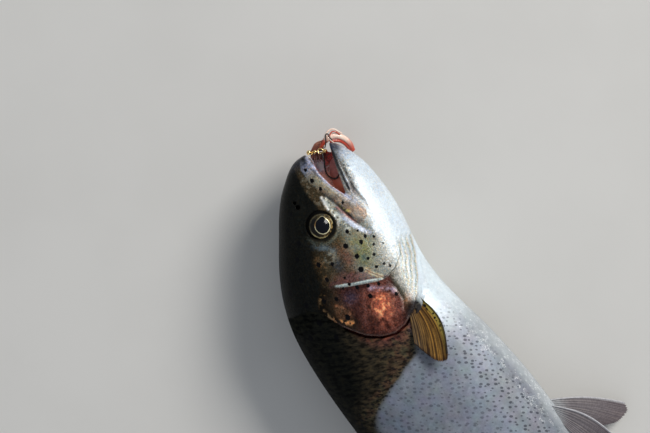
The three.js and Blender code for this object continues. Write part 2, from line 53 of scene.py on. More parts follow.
GAPE = [(-15, 5), (1, 2), (4, -0.6), (13.8, -2.7), (22.5, -6.9), (29.5, -12.4), (28.5, -13.2), (19.2, -13), (11.8, -12.9), (1.2, -13), (-15, -12.8)]
MAXILLA = [(4, 2.2), (10, 1.2), (16.2, -2.1), (24, -7.1), (32.2, -13.2), (39, -19.5), (42, -21), (45, -20.5), (47.5, -17.5), (47.2, -14.7), (44.8, -12), (38, -8.8), (31.5, -5.7), (24.2, -0.9), (17, 4), (9, 6.5), (4, 6)]
GILL_EDGE = [(81, 30), (84.5, 23.6), (90, 21), (97, 16.6), (106, 9.6), (111.6, 2.4), (114.4, -5), (113.6, -12.6), (109.6, -21.4), (103, -28.8), (94, -34), (79.5, -38.6), (66, -40.5), (60, -46)]
FRONT = [(-40, 90), (80, 90), (80, 44)] + GILL_EDGE + [(60, -90), (-40, -90)]
PREOPERCLE = [(73, 17), (75.5, 10.3), (79.2, -2.4), (82.3, -12), (83.2, -17.8), (81, -24.5), (74, -30.5), (62, -34)]
OPERCLE_SEAM = [(84, -17.5), (92, -19.6), (101, -19.5), (109, -15)]
LIP_LINE = [(2.2, -14.6), (5.5, -15), (12, -15.6), (19.8, -17), (28.2, -17.8), (37.2, -22), (44, -23)]
LIP_RIM = [(3.4, -13.8), (8.6, -13.9), (13, -14.2), (18.1, -14.8), (22.7, -15.4), (29, -15.7)]
NOSTRILS = [(25.0, 15.9, 0.95), (27.9, 15.0, 1.25)]
GROOVE = [(23, 1.5), (26.2, -1), (34.5, -6.8), (42, -10.8), (47.4, -14), (55.5, -19.3)]
EYE = dict(x=42.0, z=6.0, along=9.1, across=8.4, deep=6.3, sunk=3.4)
INSET = 0.20  # how far the skin lies inside the body's outer form, which the scales' tips reach


def table(rows):
    xs, ys = np.array(rows, float).T
    n, h = len(xs), np.diff(xs)
    d = np.diff(ys) / h
    m = np.zeros(n)
    for i in range(1, n - 1):
        if d[i - 1] * d[i] > 0:
            a, b = 2 * h[i] + h[i - 1], h[i] + 2 * h[i - 1]
            m[i] = (a + b) / (a / d[i - 1] + b / d[i])
    m[0], m[-1] = d[0], d[-1]

    def f(x):
        x = np.clip(np.asarray(x, float), xs[0], xs[-1])
        i = np.clip(np.searchsorted(xs, x, side="right") - 1, 0, n - 2)
        t = (x - xs[i]) / h[i]
        u = t * t
        v = u * t
        return (2 * v - 3 * u + 1) * ys[i] + (v - 2 * u + t) * h[i] * m[i] + (3 * u - 2 * v) * ys[i + 1] + (v - u) * h[i] * m[i + 1]
    return f


heading, mid_height, back, belly = table(HEADING), table(MID_HEIGHT), table(BACK), table(BELLY)
half_width, widest_at, above, below = table(HALF_WIDTH), table(WIDEST_AT), table(SQUARE_ABOVE), table(SQUARE_BELOW)

_s = np.arange(-20, 482.0)
_h = np.radians(heading(_s + 0.5))
_X = np.concatenate([[0], np.cumsum(-np.cos(_h))[:-1]])
_Y = np.concatenate([[0], np.cumsum(np.sin(_h))[:-1]])
_X -= _X[20]
_Y -= _Y[20]


def laid(x, z, w):
    """From the fish's coordinates in mm to the floor's in metres."""
    x, z, w = np.broadcast_arrays(np.asarray(x, float), z, w)
    c = np.clip(x, -20, 481)
    h = np.radians(heading(x))
    X = np.interp(c, _s, _X) - (x - c) * np.cos(h)
    Y = np.interp(c, _s, _Y) + (x - c) * np.sin(h)
    return np.stack([X + z * np.sin(h) - ORIGIN[0], Y + z * np.cos(h) - ORIGIN[1], mid_height(x) + w], -1) * MM


def S(a, b, x):
    t = np.clip((x - a) / (b - a), 0, 1)
    return t * t * (3 - 2 * t)


def bump(x, z, cx, cz, rx, rz, turn=0.0):
    a = math.radians(turn)
    u, v = (x - cx) * math.cos(a) + (z - cz) * math.sin(a), -(x - cx) * math.sin(a) + (z - cz) * math.cos(a)
    return np.exp(-((u / rx) ** 2 + (v / rz) ** 2))


def to_line(x, z, pts):
    """Distance to a polyline and how far along it, 0 to 1, the nearest point is."""
    best = np.full(np.shape(x), 1e9)
    along = np.zeros(np.shape(x))
    pts = np.asarray(pts, float)
    seg = np.hypot(*np.diff(pts, axis=0).T)
    run = np.concatenate([[0], np.cumsum(seg)])
    for i in range(len(pts) - 1):
        (ax, az), (bx, bz) = pts[i], pts[i + 1]
        t = np.clip(((x - ax) * (bx - ax) + (z - az) * (bz - az)) / seg[i] ** 2, 0, 1)
        d = np.hypot(x - ax - t * (bx - ax), z - az - t * (bz - az))
        m = d < best
        best = np.where(m, d, best)
        along = np.where(m, (run[i] + t * seg[i]) / run[-1], along)
    return best, along


def to_shape(x, z, pts):
    """Signed distance to a closed outline, negative inside."""
    d, _ = to_line(x, z, list(pts) + [pts[0]])
    inside = np.zeros(np.shape(x), bool)
    n = len(pts)
    for i in range(n):
        (ax, az), (bx, bz) = pts[i], pts[(i + 1) % n]
        if az == bz:
            continue
        cross = ((az > z) != (bz > z)) & (x < (bx - ax) * (z - az) / (bz - az) + ax)
        inside ^= cross
    return np.where(inside, -d, d)


def noise(p, size, seed=0):
    """Smooth noise from 0 to 1 at points p (n, 3), with features of about this size."""
    q = np.asarray(p, float) / size + seed * 17.31
    i = np.floor(q).astype(np.int64)
    f = q - i
    f = f * f * (3 - 2 * f)

    def h(a, b, c):
        n = (a * 73856093) ^ (b * 19349663) ^ (c * 83492791) ^ (seed * 2654435 + 911)
        n &= 0xFFFFFFFF
        n = ((n ^ (n >> 13)) * 1274126177) & 0xFFFFFFFF
        n = ((n ^ (n >> 16)) * 668265263) & 0xFFFFFFFF
        return ((n >> 9) & 0xFFFF) / 65535.0
    out = 0
    for a in (0, 1):
        for b in (0, 1):
            for c in (0, 1):
                wgt = (f[:, 0] if a else 1 - f[:, 0]) * (f[:, 1] if b else 1 - f[:, 1]) * (f[:, 2] if c else 1 - f[:, 2])
                out = out + wgt * h(i[:, 0] + a, i[:, 1] + b, i[:, 2] + c)
    return out


def fbm(p, size, seed=0, octaves=3):
    t = a = 0
    for k in range(octaves):
        t = t + noise(p, size / 2 ** k, seed + k) / 2 ** k
        a += 1 / 2 ** k
    return t / a


def flank(x, z):
    c = widest_at(x)
    up = z >= c
    t = np.minimum(np.abs(z - c) / np.where(up, back(x) - c, c - belly(x)), 1)
    n = np.where(up, above(x), below(x))
    return half_width(x) * np.maximum(1 - t ** n, 0) ** (1 / n)


# ---------------------------------------------------------------- mesh tools
def new_mesh(name, verts, faces, smooth=True):
    """verts (n, 3) in metres; faces is an (m, 3) or (m, 4) array or a list of such arrays."""
    me = bpy.data.meshes.new(name)
    groups = faces if isinstance(faces, list) else [faces]
    groups = [np.asarray(g, np.int32) for g in groups if len(g)]
    loops = np.concatenate([g.ravel() for g in groups])
    totals = np.concatenate([np.full(len(g), g.shape[1], np.int32) for g in groups])
    starts = np.concatenate([[0], np.cumsum(totals)[:-1]]).astype(np.int32)
    me.vertices.add(len(verts))
    me.vertices.foreach_set("co", np.asarray(verts, np.float32).ravel())
    me.loops.add(len(loops))
    me.loops.foreach_set("vertex_index", loops)
    me.polygons.add(len(totals))
    me.polygons.foreach_set("loop_start", starts)
    me.polygons.foreach_set("loop_total", totals)
    me.update(calc_edges=True)
    me.validate()
    if smooth:
        me.polygons.foreach_set("use_smooth", np.ones(len(totals), bool))
    ob = bpy.data.objects.new(name, me)
    bpy.context.scene.collection.objects.link(ob)
    return ob


def outward(verts, tris):
    a, b, c = verts[tris[:, 0]], verts[tris[:, 1]], verts[tris[:, 2]]
    return float(np.einsum("ij,ij->i", a, np.cross(b, c)).sum()) > 0


def paint_on(ob, rgb, **values):
    me = ob.data
    col = me.color_attributes.new("paint", "FLOAT_COLOR", "POINT")
    data = np.ones((len(me.vertices), 4), np.float32)
    data[:, :3] = rgb
    col.data.foreach_set("color", data.ravel())
    for key, v in values.items():
        v = np.asarray(v, np.float32)
        if v.ndim == 2:
            at = me.attributes.new(key, "FLOAT_VECTOR", "POINT")
            at.data.foreach_set("vector", v.ravel())
        else:
            at = me.attributes.new(key, "FLOAT", "POINT")
            at.data.foreach_set("value", v)


# ---------------------------------------------------------------- the skin's form
def smax(a, b, k):
    h = np.clip(0.5 + 0.5 * (a - b) / k, 0, 1)
    return b + (a - b) * h + k * h * (1 - h)


def smin(a, b, k):
    return -smax(-a, -b, k)


def relief(x, z):
    """How far the surface stands out, in mm, over the plain form: gill cover, jaws, cheek."""
    front = to_shape(x, z, FRONT)
    d = 0.0 * x
    # gill cover flares out at its free rear edge, and the shoulder behind it sits lower
    inside = -front
    low = S(24, 18, z) * S(-43, -38, z)
    throat = S(-20, -27, z)
    d = d + (1.25 - 0.85 * throat) * S(-0.1, 1.0, inside) * np.exp(-np.maximum(inside - 1, 0) / 11) * low
    d = d - (1.0 - 0.85 * throat) * np.exp(-np.maximum(front, 0) / 4.5) * (front > 0) * low
    d = d - 0.55 * throat * np.exp(-((front - 0.3) / 0.9) ** 2) * S(-43, -38, z)
    # preopercle: a crescent whose rear edge steps down onto the opercle
    pd, pa = to_line(x, z, PREOPERCLE)
    ahead = x < np.interp(z, [p[1] for p in PREOPERCLE][::-1], [p[0] for p in PREOPERCLE][::-1])
    fade = S(0, 0.15, pa) * S(1, 0.85, pa)
    d = d + fade * np.where(ahead, 0.75 * np.exp(-pd / 4.5), -0.55 * np.exp(-pd / 1.6))
    sd, sa = to_line(x, z, OPERCLE_SEAM)
    d = d - 0.5 * np.exp(-(sd / 0.75) ** 2) * S(0, 0.2, sa) * S(1, 0.8, sa)
    # branchiostegal folds run alongside the lower edge of the cover
    lower = S(-24, -30, z) * S(54, 62, x) * S(112, 100, x)
    d = d + 0.11 * np.cos(2 * np.pi * (inside / 2.4 - 0.25)) * lower * S(0.3, 1.2, inside) * S(13, 9, inside)
    pd, pa = to_line(x, z, [(75.2, 11.0), (77.0, 6.0), (78.4, 2.4), (79.6, -2.5), (81.1, -8.1), (82.6, -12.0), (84.1, -16.4)])
    d = d + 0.42 * np.exp(-(pd / 0.8) ** 2) * S(0, 0.1, pa) * S(1, 0.9, pa)
    # upper jaw bone
    md = to_shape(x, z, MAXILLA)
    d = d + 0.62 * S(0.5, -1.5, md)
    gd, ga = to_line(x, z, GROOVE)
    d = d - 0.85 * np.exp(-(gd / 0.85) ** 2) * S(0, 0.2, ga) * S(1, 0.75, ga)
    ld, la = to_line(x, z, LIP_LINE)
    d = d - 0.6 * np.exp(-(ld / 0.7) ** 2) * S(0, 0.08, la) * S(1, 0.7, la)
    ld, la = to_line(x, z, LIP_RIM)
    d = d - 0.7 * np.exp(-(ld / 0.6) ** 2) * S(1, 0.8, la)
    # cheek, jaw joint, brow and rim of the eye
    d = d + 0.8 * bump(x, z, 62, -5, 9, 9) + 0.8 * bump(x, z, 54, -22, 5, 3.5)
    r = np.hypot((x - EYE["x"]) / 1.04, z - EYE["z"])
    d = d + 0.55 * np.exp(-((r - 9.0) / 0.9) ** 2) - 0.3 * np.exp(-((r - 12.0) / 1.5) ** 2)
    d = d + 1.0 * bump(x, z, 41, 18.5, 12, 3.5, 12)
    d = d - 0.35 * bump(x, z, 26.5, 11, 8, 4, 20)
    # fleshy base of the breast fin
    d = d + 0.7 * bump(x, z, 106.5, -23, 3.2, 4.4)
    return d


def body_field(xs, zs, ws):
    """Signed distance-like field of the whole skin on a grid: negative inside."""
    out = np.empty((len(xs), len(zs), len(ws)), np.float32)
    aw = np.abs(ws)[None, :]
    for i0 in range(0, len(xs), 48):
        x = xs[i0:i0 + 48]
        D, V, W, c = back(x), belly(x), half_width(x), widest_at(x)
        nu, nl = above(x), below(x)
        z2 = zs[None, :] - c[:, None]
        up = z2 >= 0
        A = np.where(up, (D - c)[:, None], (c - V)[:, None])
        n = np.where(up, nu[:, None], nl[:, None])
        a = np.maximum(np.abs(z2) / A, 1e-4)
        b = np.maximum(aw / W[:, None], 1e-4)
        an = a ** n
        bu, bl = b ** nu[:, None], b ** nl[:, None]
        bn = np.where(up[:, :, None], bu[:, None, :], bl[:, None, :])
        s = (an[:, :, None] + bn).astype(np.float32)
        n3 = n[:, :, None].astype(np.float32)
        g = s ** (1 / n3)
        ga = (a ** (n - 1) / A)[:, :, None]
        gbu, gbl = b ** (nu[:, None] - 1) / W[:, None], b ** (nl[:, None] - 1) / W[:, None]
        gb = np.where(up[:, :, None], gbu[:, None, :], gbl[:, None, :])
        grad = np.sqrt(ga * ga + gb * gb) * g / np.maximum(s, 1e-6)
        grad = np.maximum(grad, 1 / 70)
        f0 = (g - 1) / grad
        X2, Z2 = np.meshgrid(x, zs, indexing="ij")
        f = f0 + INSET
        if x[0] < 135:
            d = relief(X2, Z2)
            side = S(0.12, 0.42, b)
            f = f - d[:, :, None] * side[:, None, :]
        f = smax(f, (-1.3 - X2)[:, :, None] + 0 * f, 1.0)
        if x[0] < 70:
            x3, z3, w3 = X2[:, :, None], Z2[:, :, None], ws[None, None, :]
            gape = to_shape(X2, Z2, GAPE)[:, :, None]
            f = smax(f, -gape + 0 * f, 1.3)
            e = np.sqrt(((x3 - 26) / 24) ** 2 + ((z3 + 9) / 11) ** 2 + (w3 / 11.5) ** 2)
            f = smax(f, -(e - 1) * 11, 1.6)
            # the cheek's lining closes the far side of the mouth
            wall = np.maximum(np.maximum(f0 + 3.4, w3 + 6.5 - 6.0 * S(10, 24, x3)), np.maximum(3.0 - x3, x3 - 38))
            f = smin(f, wall, 1.5)
            # nostrils
            for nx, nz, nr in NOSTRILS:
                r = np.sqrt((x3 - nx) ** 2 + (z3 - nz) ** 2)
                f = smax(f, np.minimum(nr - r, f0 + 2.2), 0.5)
            for sgn in (1, -1):
                wc = sgn * (float(flank(EYE["x"], EYE["z"])) - EYE["sunk"])
                e = np.sqrt(((x3 - EYE["x"]) / (EYE["along"] - 0.15)) ** 2 + ((z3 - EYE["z"]) / (EYE["across"] - 0.15)) ** 2 + ((w3 - wc) / (EYE["deep"] - 0.1)) ** 2)
                f = smax(f, -(e - 1) * 7.5, 0.7)
        if x[-1] > 55 and x[0] < 125:
            front = to_shape(X2, Z2, FRONT)
            slot = np.abs(front - 0.6) - 0.6
            slot = slot + 6 * (1 - S(21, 17, Z2) * S(-27, -21, Z2))
            f = smax(f, -np.maximum(slot[:, :, None], -(f0 + 3.2)), 0.35)
        # the left flank lies flat on the floor
        f = smax(f, (0.42 - (mid_height(x)[:, None, None] + ws[None, None, :])) + 0 * f, 0.25)
        out[i0:i0 + 48] = f
    return out


def surface(F, xs, zs, ws):
    """Surface nets on a grid: one vertex in each cell that the surface crosses."""
    inside = F < 0
    nx, nz, nw = F.shape
    count = np.zeros((nx - 1, nz - 1, nw - 1), np.int8)
    for a in (0, 1):
        for b in (0, 1):
            for c in (0, 1):
                count += inside[a:nx - 1 + a, b:nz - 1 + b, c:nw - 1 + c]
    I, J, K = np.nonzero((count > 0) & (count < 8))
    vid = np.full(count.shape, -1, np.int32)
    vid[I, J, K] = np.arange(len(I))
    total, hits = np.zeros((len(I), 3)), np.zeros(len(I))
    for ax in range(3):
        for p in (0, 1):
            for q in (0, 1):
                lo = [0, 0, 0]
                others = [k for k in range(3) if k != ax]
                lo[others[0]], lo[others[1]] = p, q
                hi = list(lo)
                hi[ax] = 1
                fa = F[I + lo[0], J + lo[1], K + lo[2]]
                fb = F[I + hi[0], J + hi[1], K + hi[2]]
                m = (fa < 0) != (fb < 0)
                t = np.where(m, fa / np.where(m, fa - fb, 1), 0)
                at = np.zeros((len(I), 3))
                at[:, others[0]], at[:, others[1]], at[:, ax] = p, q, t
                total += at * m[:, None]
                hits += m
    idx = np.stack([I, J, K], 1) + total / hits[:, None]
    quads = []
    for ax in range(3):
        o = [k for k in range(3) if k != ax]
        a0 = [slice(1, -1)] * 3
        a1 = [slice(1, -1)] * 3
        a0[ax], a1[ax] = slice(0, -1), slice(1, None)
        u, v = inside[tuple(a0)], inside[tuple(a1)]
        P = np.argwhere(u != v)
        if not len(P):
            continue
        flip = u[P[:, 0], P[:, 1], P[:, 2]]
        for k in o:
            P[:, k] += 1
        def cell(da, db):
            c = P.copy()
            c[:, o[0]] -= da
            c[:, o[1]] -= db
            return vid[c[:, 0], c[:, 1], c[:, 2]]
        ring = np.stack([cell(1, 1), cell(0, 1), cell(0, 0), cell(1, 0)], 1)
        if ax == 1:
            ring = ring[:, ::-1]
        ring = np.where(flip[:, None], ring, ring[:, ::-1])
        quads.append(ring)
    quads = np.concatenate(quads)
    # pull each vertex onto the surface
    dims = np.array(F.shape)
    sp = [np.gradient(c) for c in (xs, zs, ws)]
    for _ in range(3):
        i = np.clip(np.floor(idx).astype(int), 0, dims - 2)
        f = idx - i
        v = [[[F[i[:, 0] + a, i[:, 1] + b, i[:, 2] + c] for c in (0, 1)] for b in (0, 1)] for a in (0, 1)]
        wx, wz, ww = f.T
        def mixw(c, t):
            return c[0] * (1 - t) + c[1] * t
        val = mixw([mixw([mixw(v[a][b], ww) for b in (0, 1)], wz) for a in (0, 1)], wx)
        gx = mixw([mixw([v[1][b][c] - v[0][b][c] for b in (0, 1)], wz) for c in (0, 1)], ww) / sp[0][i[:, 0]]
        gz = mixw([mixw([v[a][1][c] - v[a][0][c] for a in (0, 1)], wx) for c in (0, 1)], ww) / sp[1][i[:, 1]]
        gw = mixw([mixw([v[a][b][1] - v[a][b][0] for a in (0, 1)], wx) for b in (0, 1)], wz) / sp[2][i[:, 2]]
        gg = np.maximum(gx * gx + gz * gz + gw * gw, 0.05)
        step = -0.7 * val / gg
        lim = 0.4
        dx = np.clip(step * gx / sp[0][i[:, 0]], -lim, lim)
        dz = np.clip(step * gz / sp[1][i[:, 1]], -lim, lim)
        dw = np.clip(step * gw / sp[2][i[:, 2]], -lim, lim)
        idx = idx + np.stack([dx, dz, dw], 1)
    co = np.stack([np.interp(idx[:, k], np.arange(dims[k]), c) for k, c in enumerate((xs, zs, ws))], 1)
    return co, quads


def under(x, z, w):
    """Depth in mm of a point against the body's plain outer form, negative inside."""
    c, D, V, W = widest_at(x), back(x), belly(x), half_width(x)
    up = z >= c
    A = np.where(up, D - c, c - V)
    n = np.where(up, above(x), below(x))
    a, b = np.maximum(np.abs(z - c) / A, 1e-4), np.maximum(np.abs(w) / W, 1e-4)
    s = a ** n + b ** n
    g = s ** (1 / n)
    grad = np.maximum(np.hypot(a ** (n - 1) / A, b ** (n - 1) / W) * g / s, 1 / 70)
    return (g - 1) / grad


def thinned(verts, quads, weight, share):
    """Collapses edges where weight is above 0, in mm coordinates, and gives verts and triangles."""
    me = bpy.data.meshes.new("raw")
    me.vertices.add(len(verts))
    me.vertices.foreach_set("co", verts.astype(np.float32).ravel())
    me.loops.add(quads.size)
    me.loops.foreach_set("vertex_index", quads.astype(np.int32).ravel())
    me.polygons.add(len(quads))
    me.polygons.foreach_set("loop_start", np.arange(0, quads.size, 4, dtype=np.int32))
    me.polygons.foreach_set("loop_total", np.full(len(quads), 4, np.int32))
    me.update(calc_edges=True)
    ob = bpy.data.objects.new("raw", me)
    bpy.context.scene.collection.objects.link(ob)
    vg = ob.vertex_groups.new(name="thin")
    for level in np.unique(weight):
        if level > 0:
            vg.add(np.nonzero(weight == level)[0].tolist(), float(level), "REPLACE")
    mod = ob.modifiers.new("thin", "DECIMATE")
    mod.ratio = share
    mod.vertex_group = "thin"
    dg = bpy.context.evaluated_depsgraph_get()
    out = bpy.data.meshes.new_from_object(ob.evaluated_get(dg))
    bpy.data.objects.remove(ob)
    bpy.data.meshes.remove(me)
    co = np.empty(len(out.vertices) * 3, np.float32)
    out.vertices.foreach_get("co", co)
    out.calc_loop_triangles()
    t = np.empty(len(out.loop_triangles) * 3, np.int32)
    out.loop_triangles.foreach_get("vertices", t)
    bpy.data.meshes.remove(out)
    return co.reshape(-1, 3).astype(float), t.reshape(-1, 3)


# ---------------------------------------------------------------- arc lengths round the body, from the lateral line
LATERAL = table([[100, 9], [125, 8], [160, 6], [220, 3], [300, 1.5], [430, 0.5]])
_gx = np.arange(-2, 431, 1.0)
_phi = np.radians(np.linspace(-90, 90, 241))
_c, _D, _V, _W = widest_at(_gx), back(_gx), belly(_gx), half_width(_gx)
_up = _phi >= 0
_n = np.where(_up[None], above(_gx)[:, None], below(_gx)[:, None])
_A = np.where(_up[None], (_D - _c)[:, None], (_c - _V)[:, None])
_r = (np.abs(np.cos(_phi))[None] ** _n + np.abs(np.sin(_phi))[None] ** _n) ** (-1 / _n)
_zt = _c[:, None] + _A * _r * np.sin(_phi)[None]
_wt = _W[:, None] * _r * np.abs(np.cos(_phi))[None]
_arc = np.concatenate([np.zeros((len(_gx), 1)), np.cumsum(np.hypot(np.diff(_zt, axis=1), np.diff(_wt, axis=1)), 1)], 1)
for _i in range(len(_gx)):
    _arc[_i] -= np.interp(LATERAL(_gx[_i]), _zt[_i], _arc[_i])
GMIN, GMAX = -96.0, 72.0
_gs = np.arange(GMIN, GMAX + 0.25, 0.5)
_iz = np.stack([np.interp(_gs, _arc[i], _zt[i]) for i in range(len(_gx))])
_iw = np.stack([np.interp(_gs, _arc[i], _wt[i]) for i in range(len(_gx))])


def bilinear(T, fi, fj):
    i = np.clip(np.floor(fi).astype(int), 0, T.shape[0] - 2)
    j = np.clip(np.floor(fj).astype(int), 0, T.shape[1] - 2)
    a, b = np.clip(fi - i, 0, 1), np.clip(fj - j, 0, 1)
    return (T[i, j] * (1 - a) + T[i + 1, j] * a) * (1 - b) + (T[i, j + 1] * (1 - a) + T[i + 1, j + 1] * a) * b


def on_body(x, g):
    """The point of the plain outer form at x and arc g above the lateral line: z, and w on the right side."""
    return bilinear(_iz, x - _gx[0], (g - GMIN) * 2), bilinear(_iw, x - _gx[0], (g - GMIN) * 2)


def girth(x, z, w):
    c = widest_at(x)
    A = np.where(z >= c, back(x) - c, c - belly(x))
    phi = np.degrees(np.arctan2((z - c) / A, np.maximum(np.abs(w) / half_width(x), 1e-6)))
    return bilinear(_arc, x - _gx[0], (phi + 90) / 180 * 240)


g_top = lambda x: np.interp(x, _gx, _arc[:, -1])
g_low = lambda x: np.interp(x, _gx, _arc[:, 0])

# ---------------------------------------------------------------- colours of a rainbow trout, linear
BLACK = (0.004, 0.004, 0.005)
CROWN = (0.0075, 0.0080, 0.0068)
OLIVE = (0.052, 0.045, 0.026)
RUST = (0.080, 0.036, 0.024)
SILVER = (0.225, 0.250, 0.300)
BELLY_WHITE = (0.40, 0.435, 0.465)
JAW_WHITE = (0.71, 0.80, 0.87)
ROSE = (0.34, 0.130, 0.140)
CHEEK = (0.240, 0.245, 0.225)
BROWN = (0.050, 0.038, 0.020)
MAROON = (0.056, 0.019, 0.015)
GLOW = (0.72, 0.165, 0.075)
GOLD = (0.66, 0.34, 0.085)
# the mouth's gum and throat, painted far brighter than the flesh's own colour as light for the shaded mouth
GUM_BRIGHTENED = (0.47, 0.036, 0.026)
THROAT_ORANGE_BRIGHTENED = (1.0, 0.56, 0.44)

# x, z and radius of the black spots on the head
HEAD_SPOTS = [(57.0, -3.5, 1.5), (57.9, -12.5, 1.3), (61.7, -18.6, .9), (63.0, -23.6, .7), (64.7, -7.5, 1.45), (68.3, -12.9, 1.0), (67.5, -16.7, 1.0),
              (72.6, -6.8, 1.6), (75.0, -15.4, 1.1), (75.2, -19.7, .9), (78.2, -22.4, .9), (61.6, 14.4, 1.3), (64.0, 7.0, 1.1), (70.5, 13.1, 1.2), (73.2, 3.4, .8),
              (77.4, 2.6, 1.0), (81.0, -.6, 1.1), (77.9, 6.8, .8), (83.0, -6.4, 1.1), (85.0, -12.2, 1.1), (95.9, -17.8, 1.2), (81.6, 12.8, 1.2), (88.8, -4.7, 1.3),
              (92.6, 12.3, 1.5), (79.8, 19.8, 1.3), (49.7, -7.0, 1.2), (51.1, -12.8, .8), (55.5, -15.7, 1.1), (57.4, -20.2, .9), (16.2, 2.4, 1.3), (22.2, -.8, 1.1),
              (9.4, 4.0, 1.0), (33.6, -10.0, .9), (2.8, 4.0, .8), (13.9, -17.3, .5), (15.0, -19.6, .5), (21.9, -18.9, .55), (18.6, -17.3, .45), (47, 21, 1.3),
              (55, 25, 1.2), (66, 27, 1.4), (78, 30, 1.3), (88, 28, 1.5), (70, 36, 1.3), (30, 20, 1.0), (38, 25, 1.1), (98, 24, 1.4), (92, 37, 1.5), (104, 33, 1.4)]
# soft patches of the head: x, z, length, height, turn in degrees, colour, strength
PATCHES = [(63, -11.5, 13, 9.0, -8, (0.165, 0.172, 0.048), .88), (61.5, -1.8, 7.5, 3.8, -12, (0.155, 0.070, 0.042), .85), (66.0, -3.6, 4, 2.6, 10, (0.165, 0.072, 0.052), .6),
           (66.8, -11.0, 2.3, 1.7, 0, (0.045, 0.105, 0.110), .85), (60.6, -8.4, 1.9, 1.3, 20, (0.075, 0.120, 0.100), .7), (65.7, 3.8, 4.2, 3.2, 0, (0.034, 0.044, 0.060), .75),
           (60.7, 14.8, 2.6, 2.1, 0, (0.22, 0.11, 0.035), .75), (70.8, 8.6, 3.0, 3.2, 0, (0.065, 0.050, 0.022), .6), (52.2, -11.2, 3.2, 2.6, -30, (0.22, 0.185, 0.11), .6),
           (74.6, 0.5, 3.6, 8.6, 12, (0.155, 0.058, 0.055), .9), (76.6, -8.4, 3.0, 3.4, 20, (0.25, 0.125, 0.12), .7), (71.0, -20.5, 6.5, 4.0, 0, (0.25, 0.26, 0.24), .7)]
PREOPERCLE_GLINT = [(75.2, 11.0), (77.0, 6.0), (78.4, 2.4), (79.6, -2.5), (81.1, -8.1), (82.6, -12.0), (84.1, -16.4)]
GOLD_ARC = [(76.2, 17.4), (77.4, 19.9), (79.1, 22.4), (82.2, 23.2), (85.4, 22.2), (87.8, 21.2), (90.9, 19.1), (93.7, 15.7), (95.9, 12.8), (96.8, 10.2)]

zb = table([[90, -20], [118, -15], [126, -12], [131, -7.5], [133.2, 0.5], [135.8, 8.6], [138.2, 16.5], [141, 24], [145, 31.5], [151, 36.5], [165, 38], [200, 36], [260, 28.5], [330, 18], [400, 10.5], [430, 9]])
crown_line = table([[0, 7.5], [4.3, 8.5], [13, 7.4], [19, 6.6], [24, 5.4], [28.4, 3.6], [33, 2.2], [36.5, 3.5], [40, 12], [46, 14.2], [52, 14.6], [60, 17], [70, 17], [77, 21.5], [86, 24.5], [92, 23.5], [102, 17], [112, 8]])
jaw_line = table([[0, -14.2], [12, -15.5], [24, -17], [34, -21], [45, -21.5], [52, -21.5], [62, -25.5], [72, -27], [82, -28.5], [92, -28.5], [102, -26.5], [112, -18]])


def lay(c, rgb, m):
    m = np.clip(m, 0, 1)[:, None]
    return c * (1 - m) + np.asarray(rgb) * m


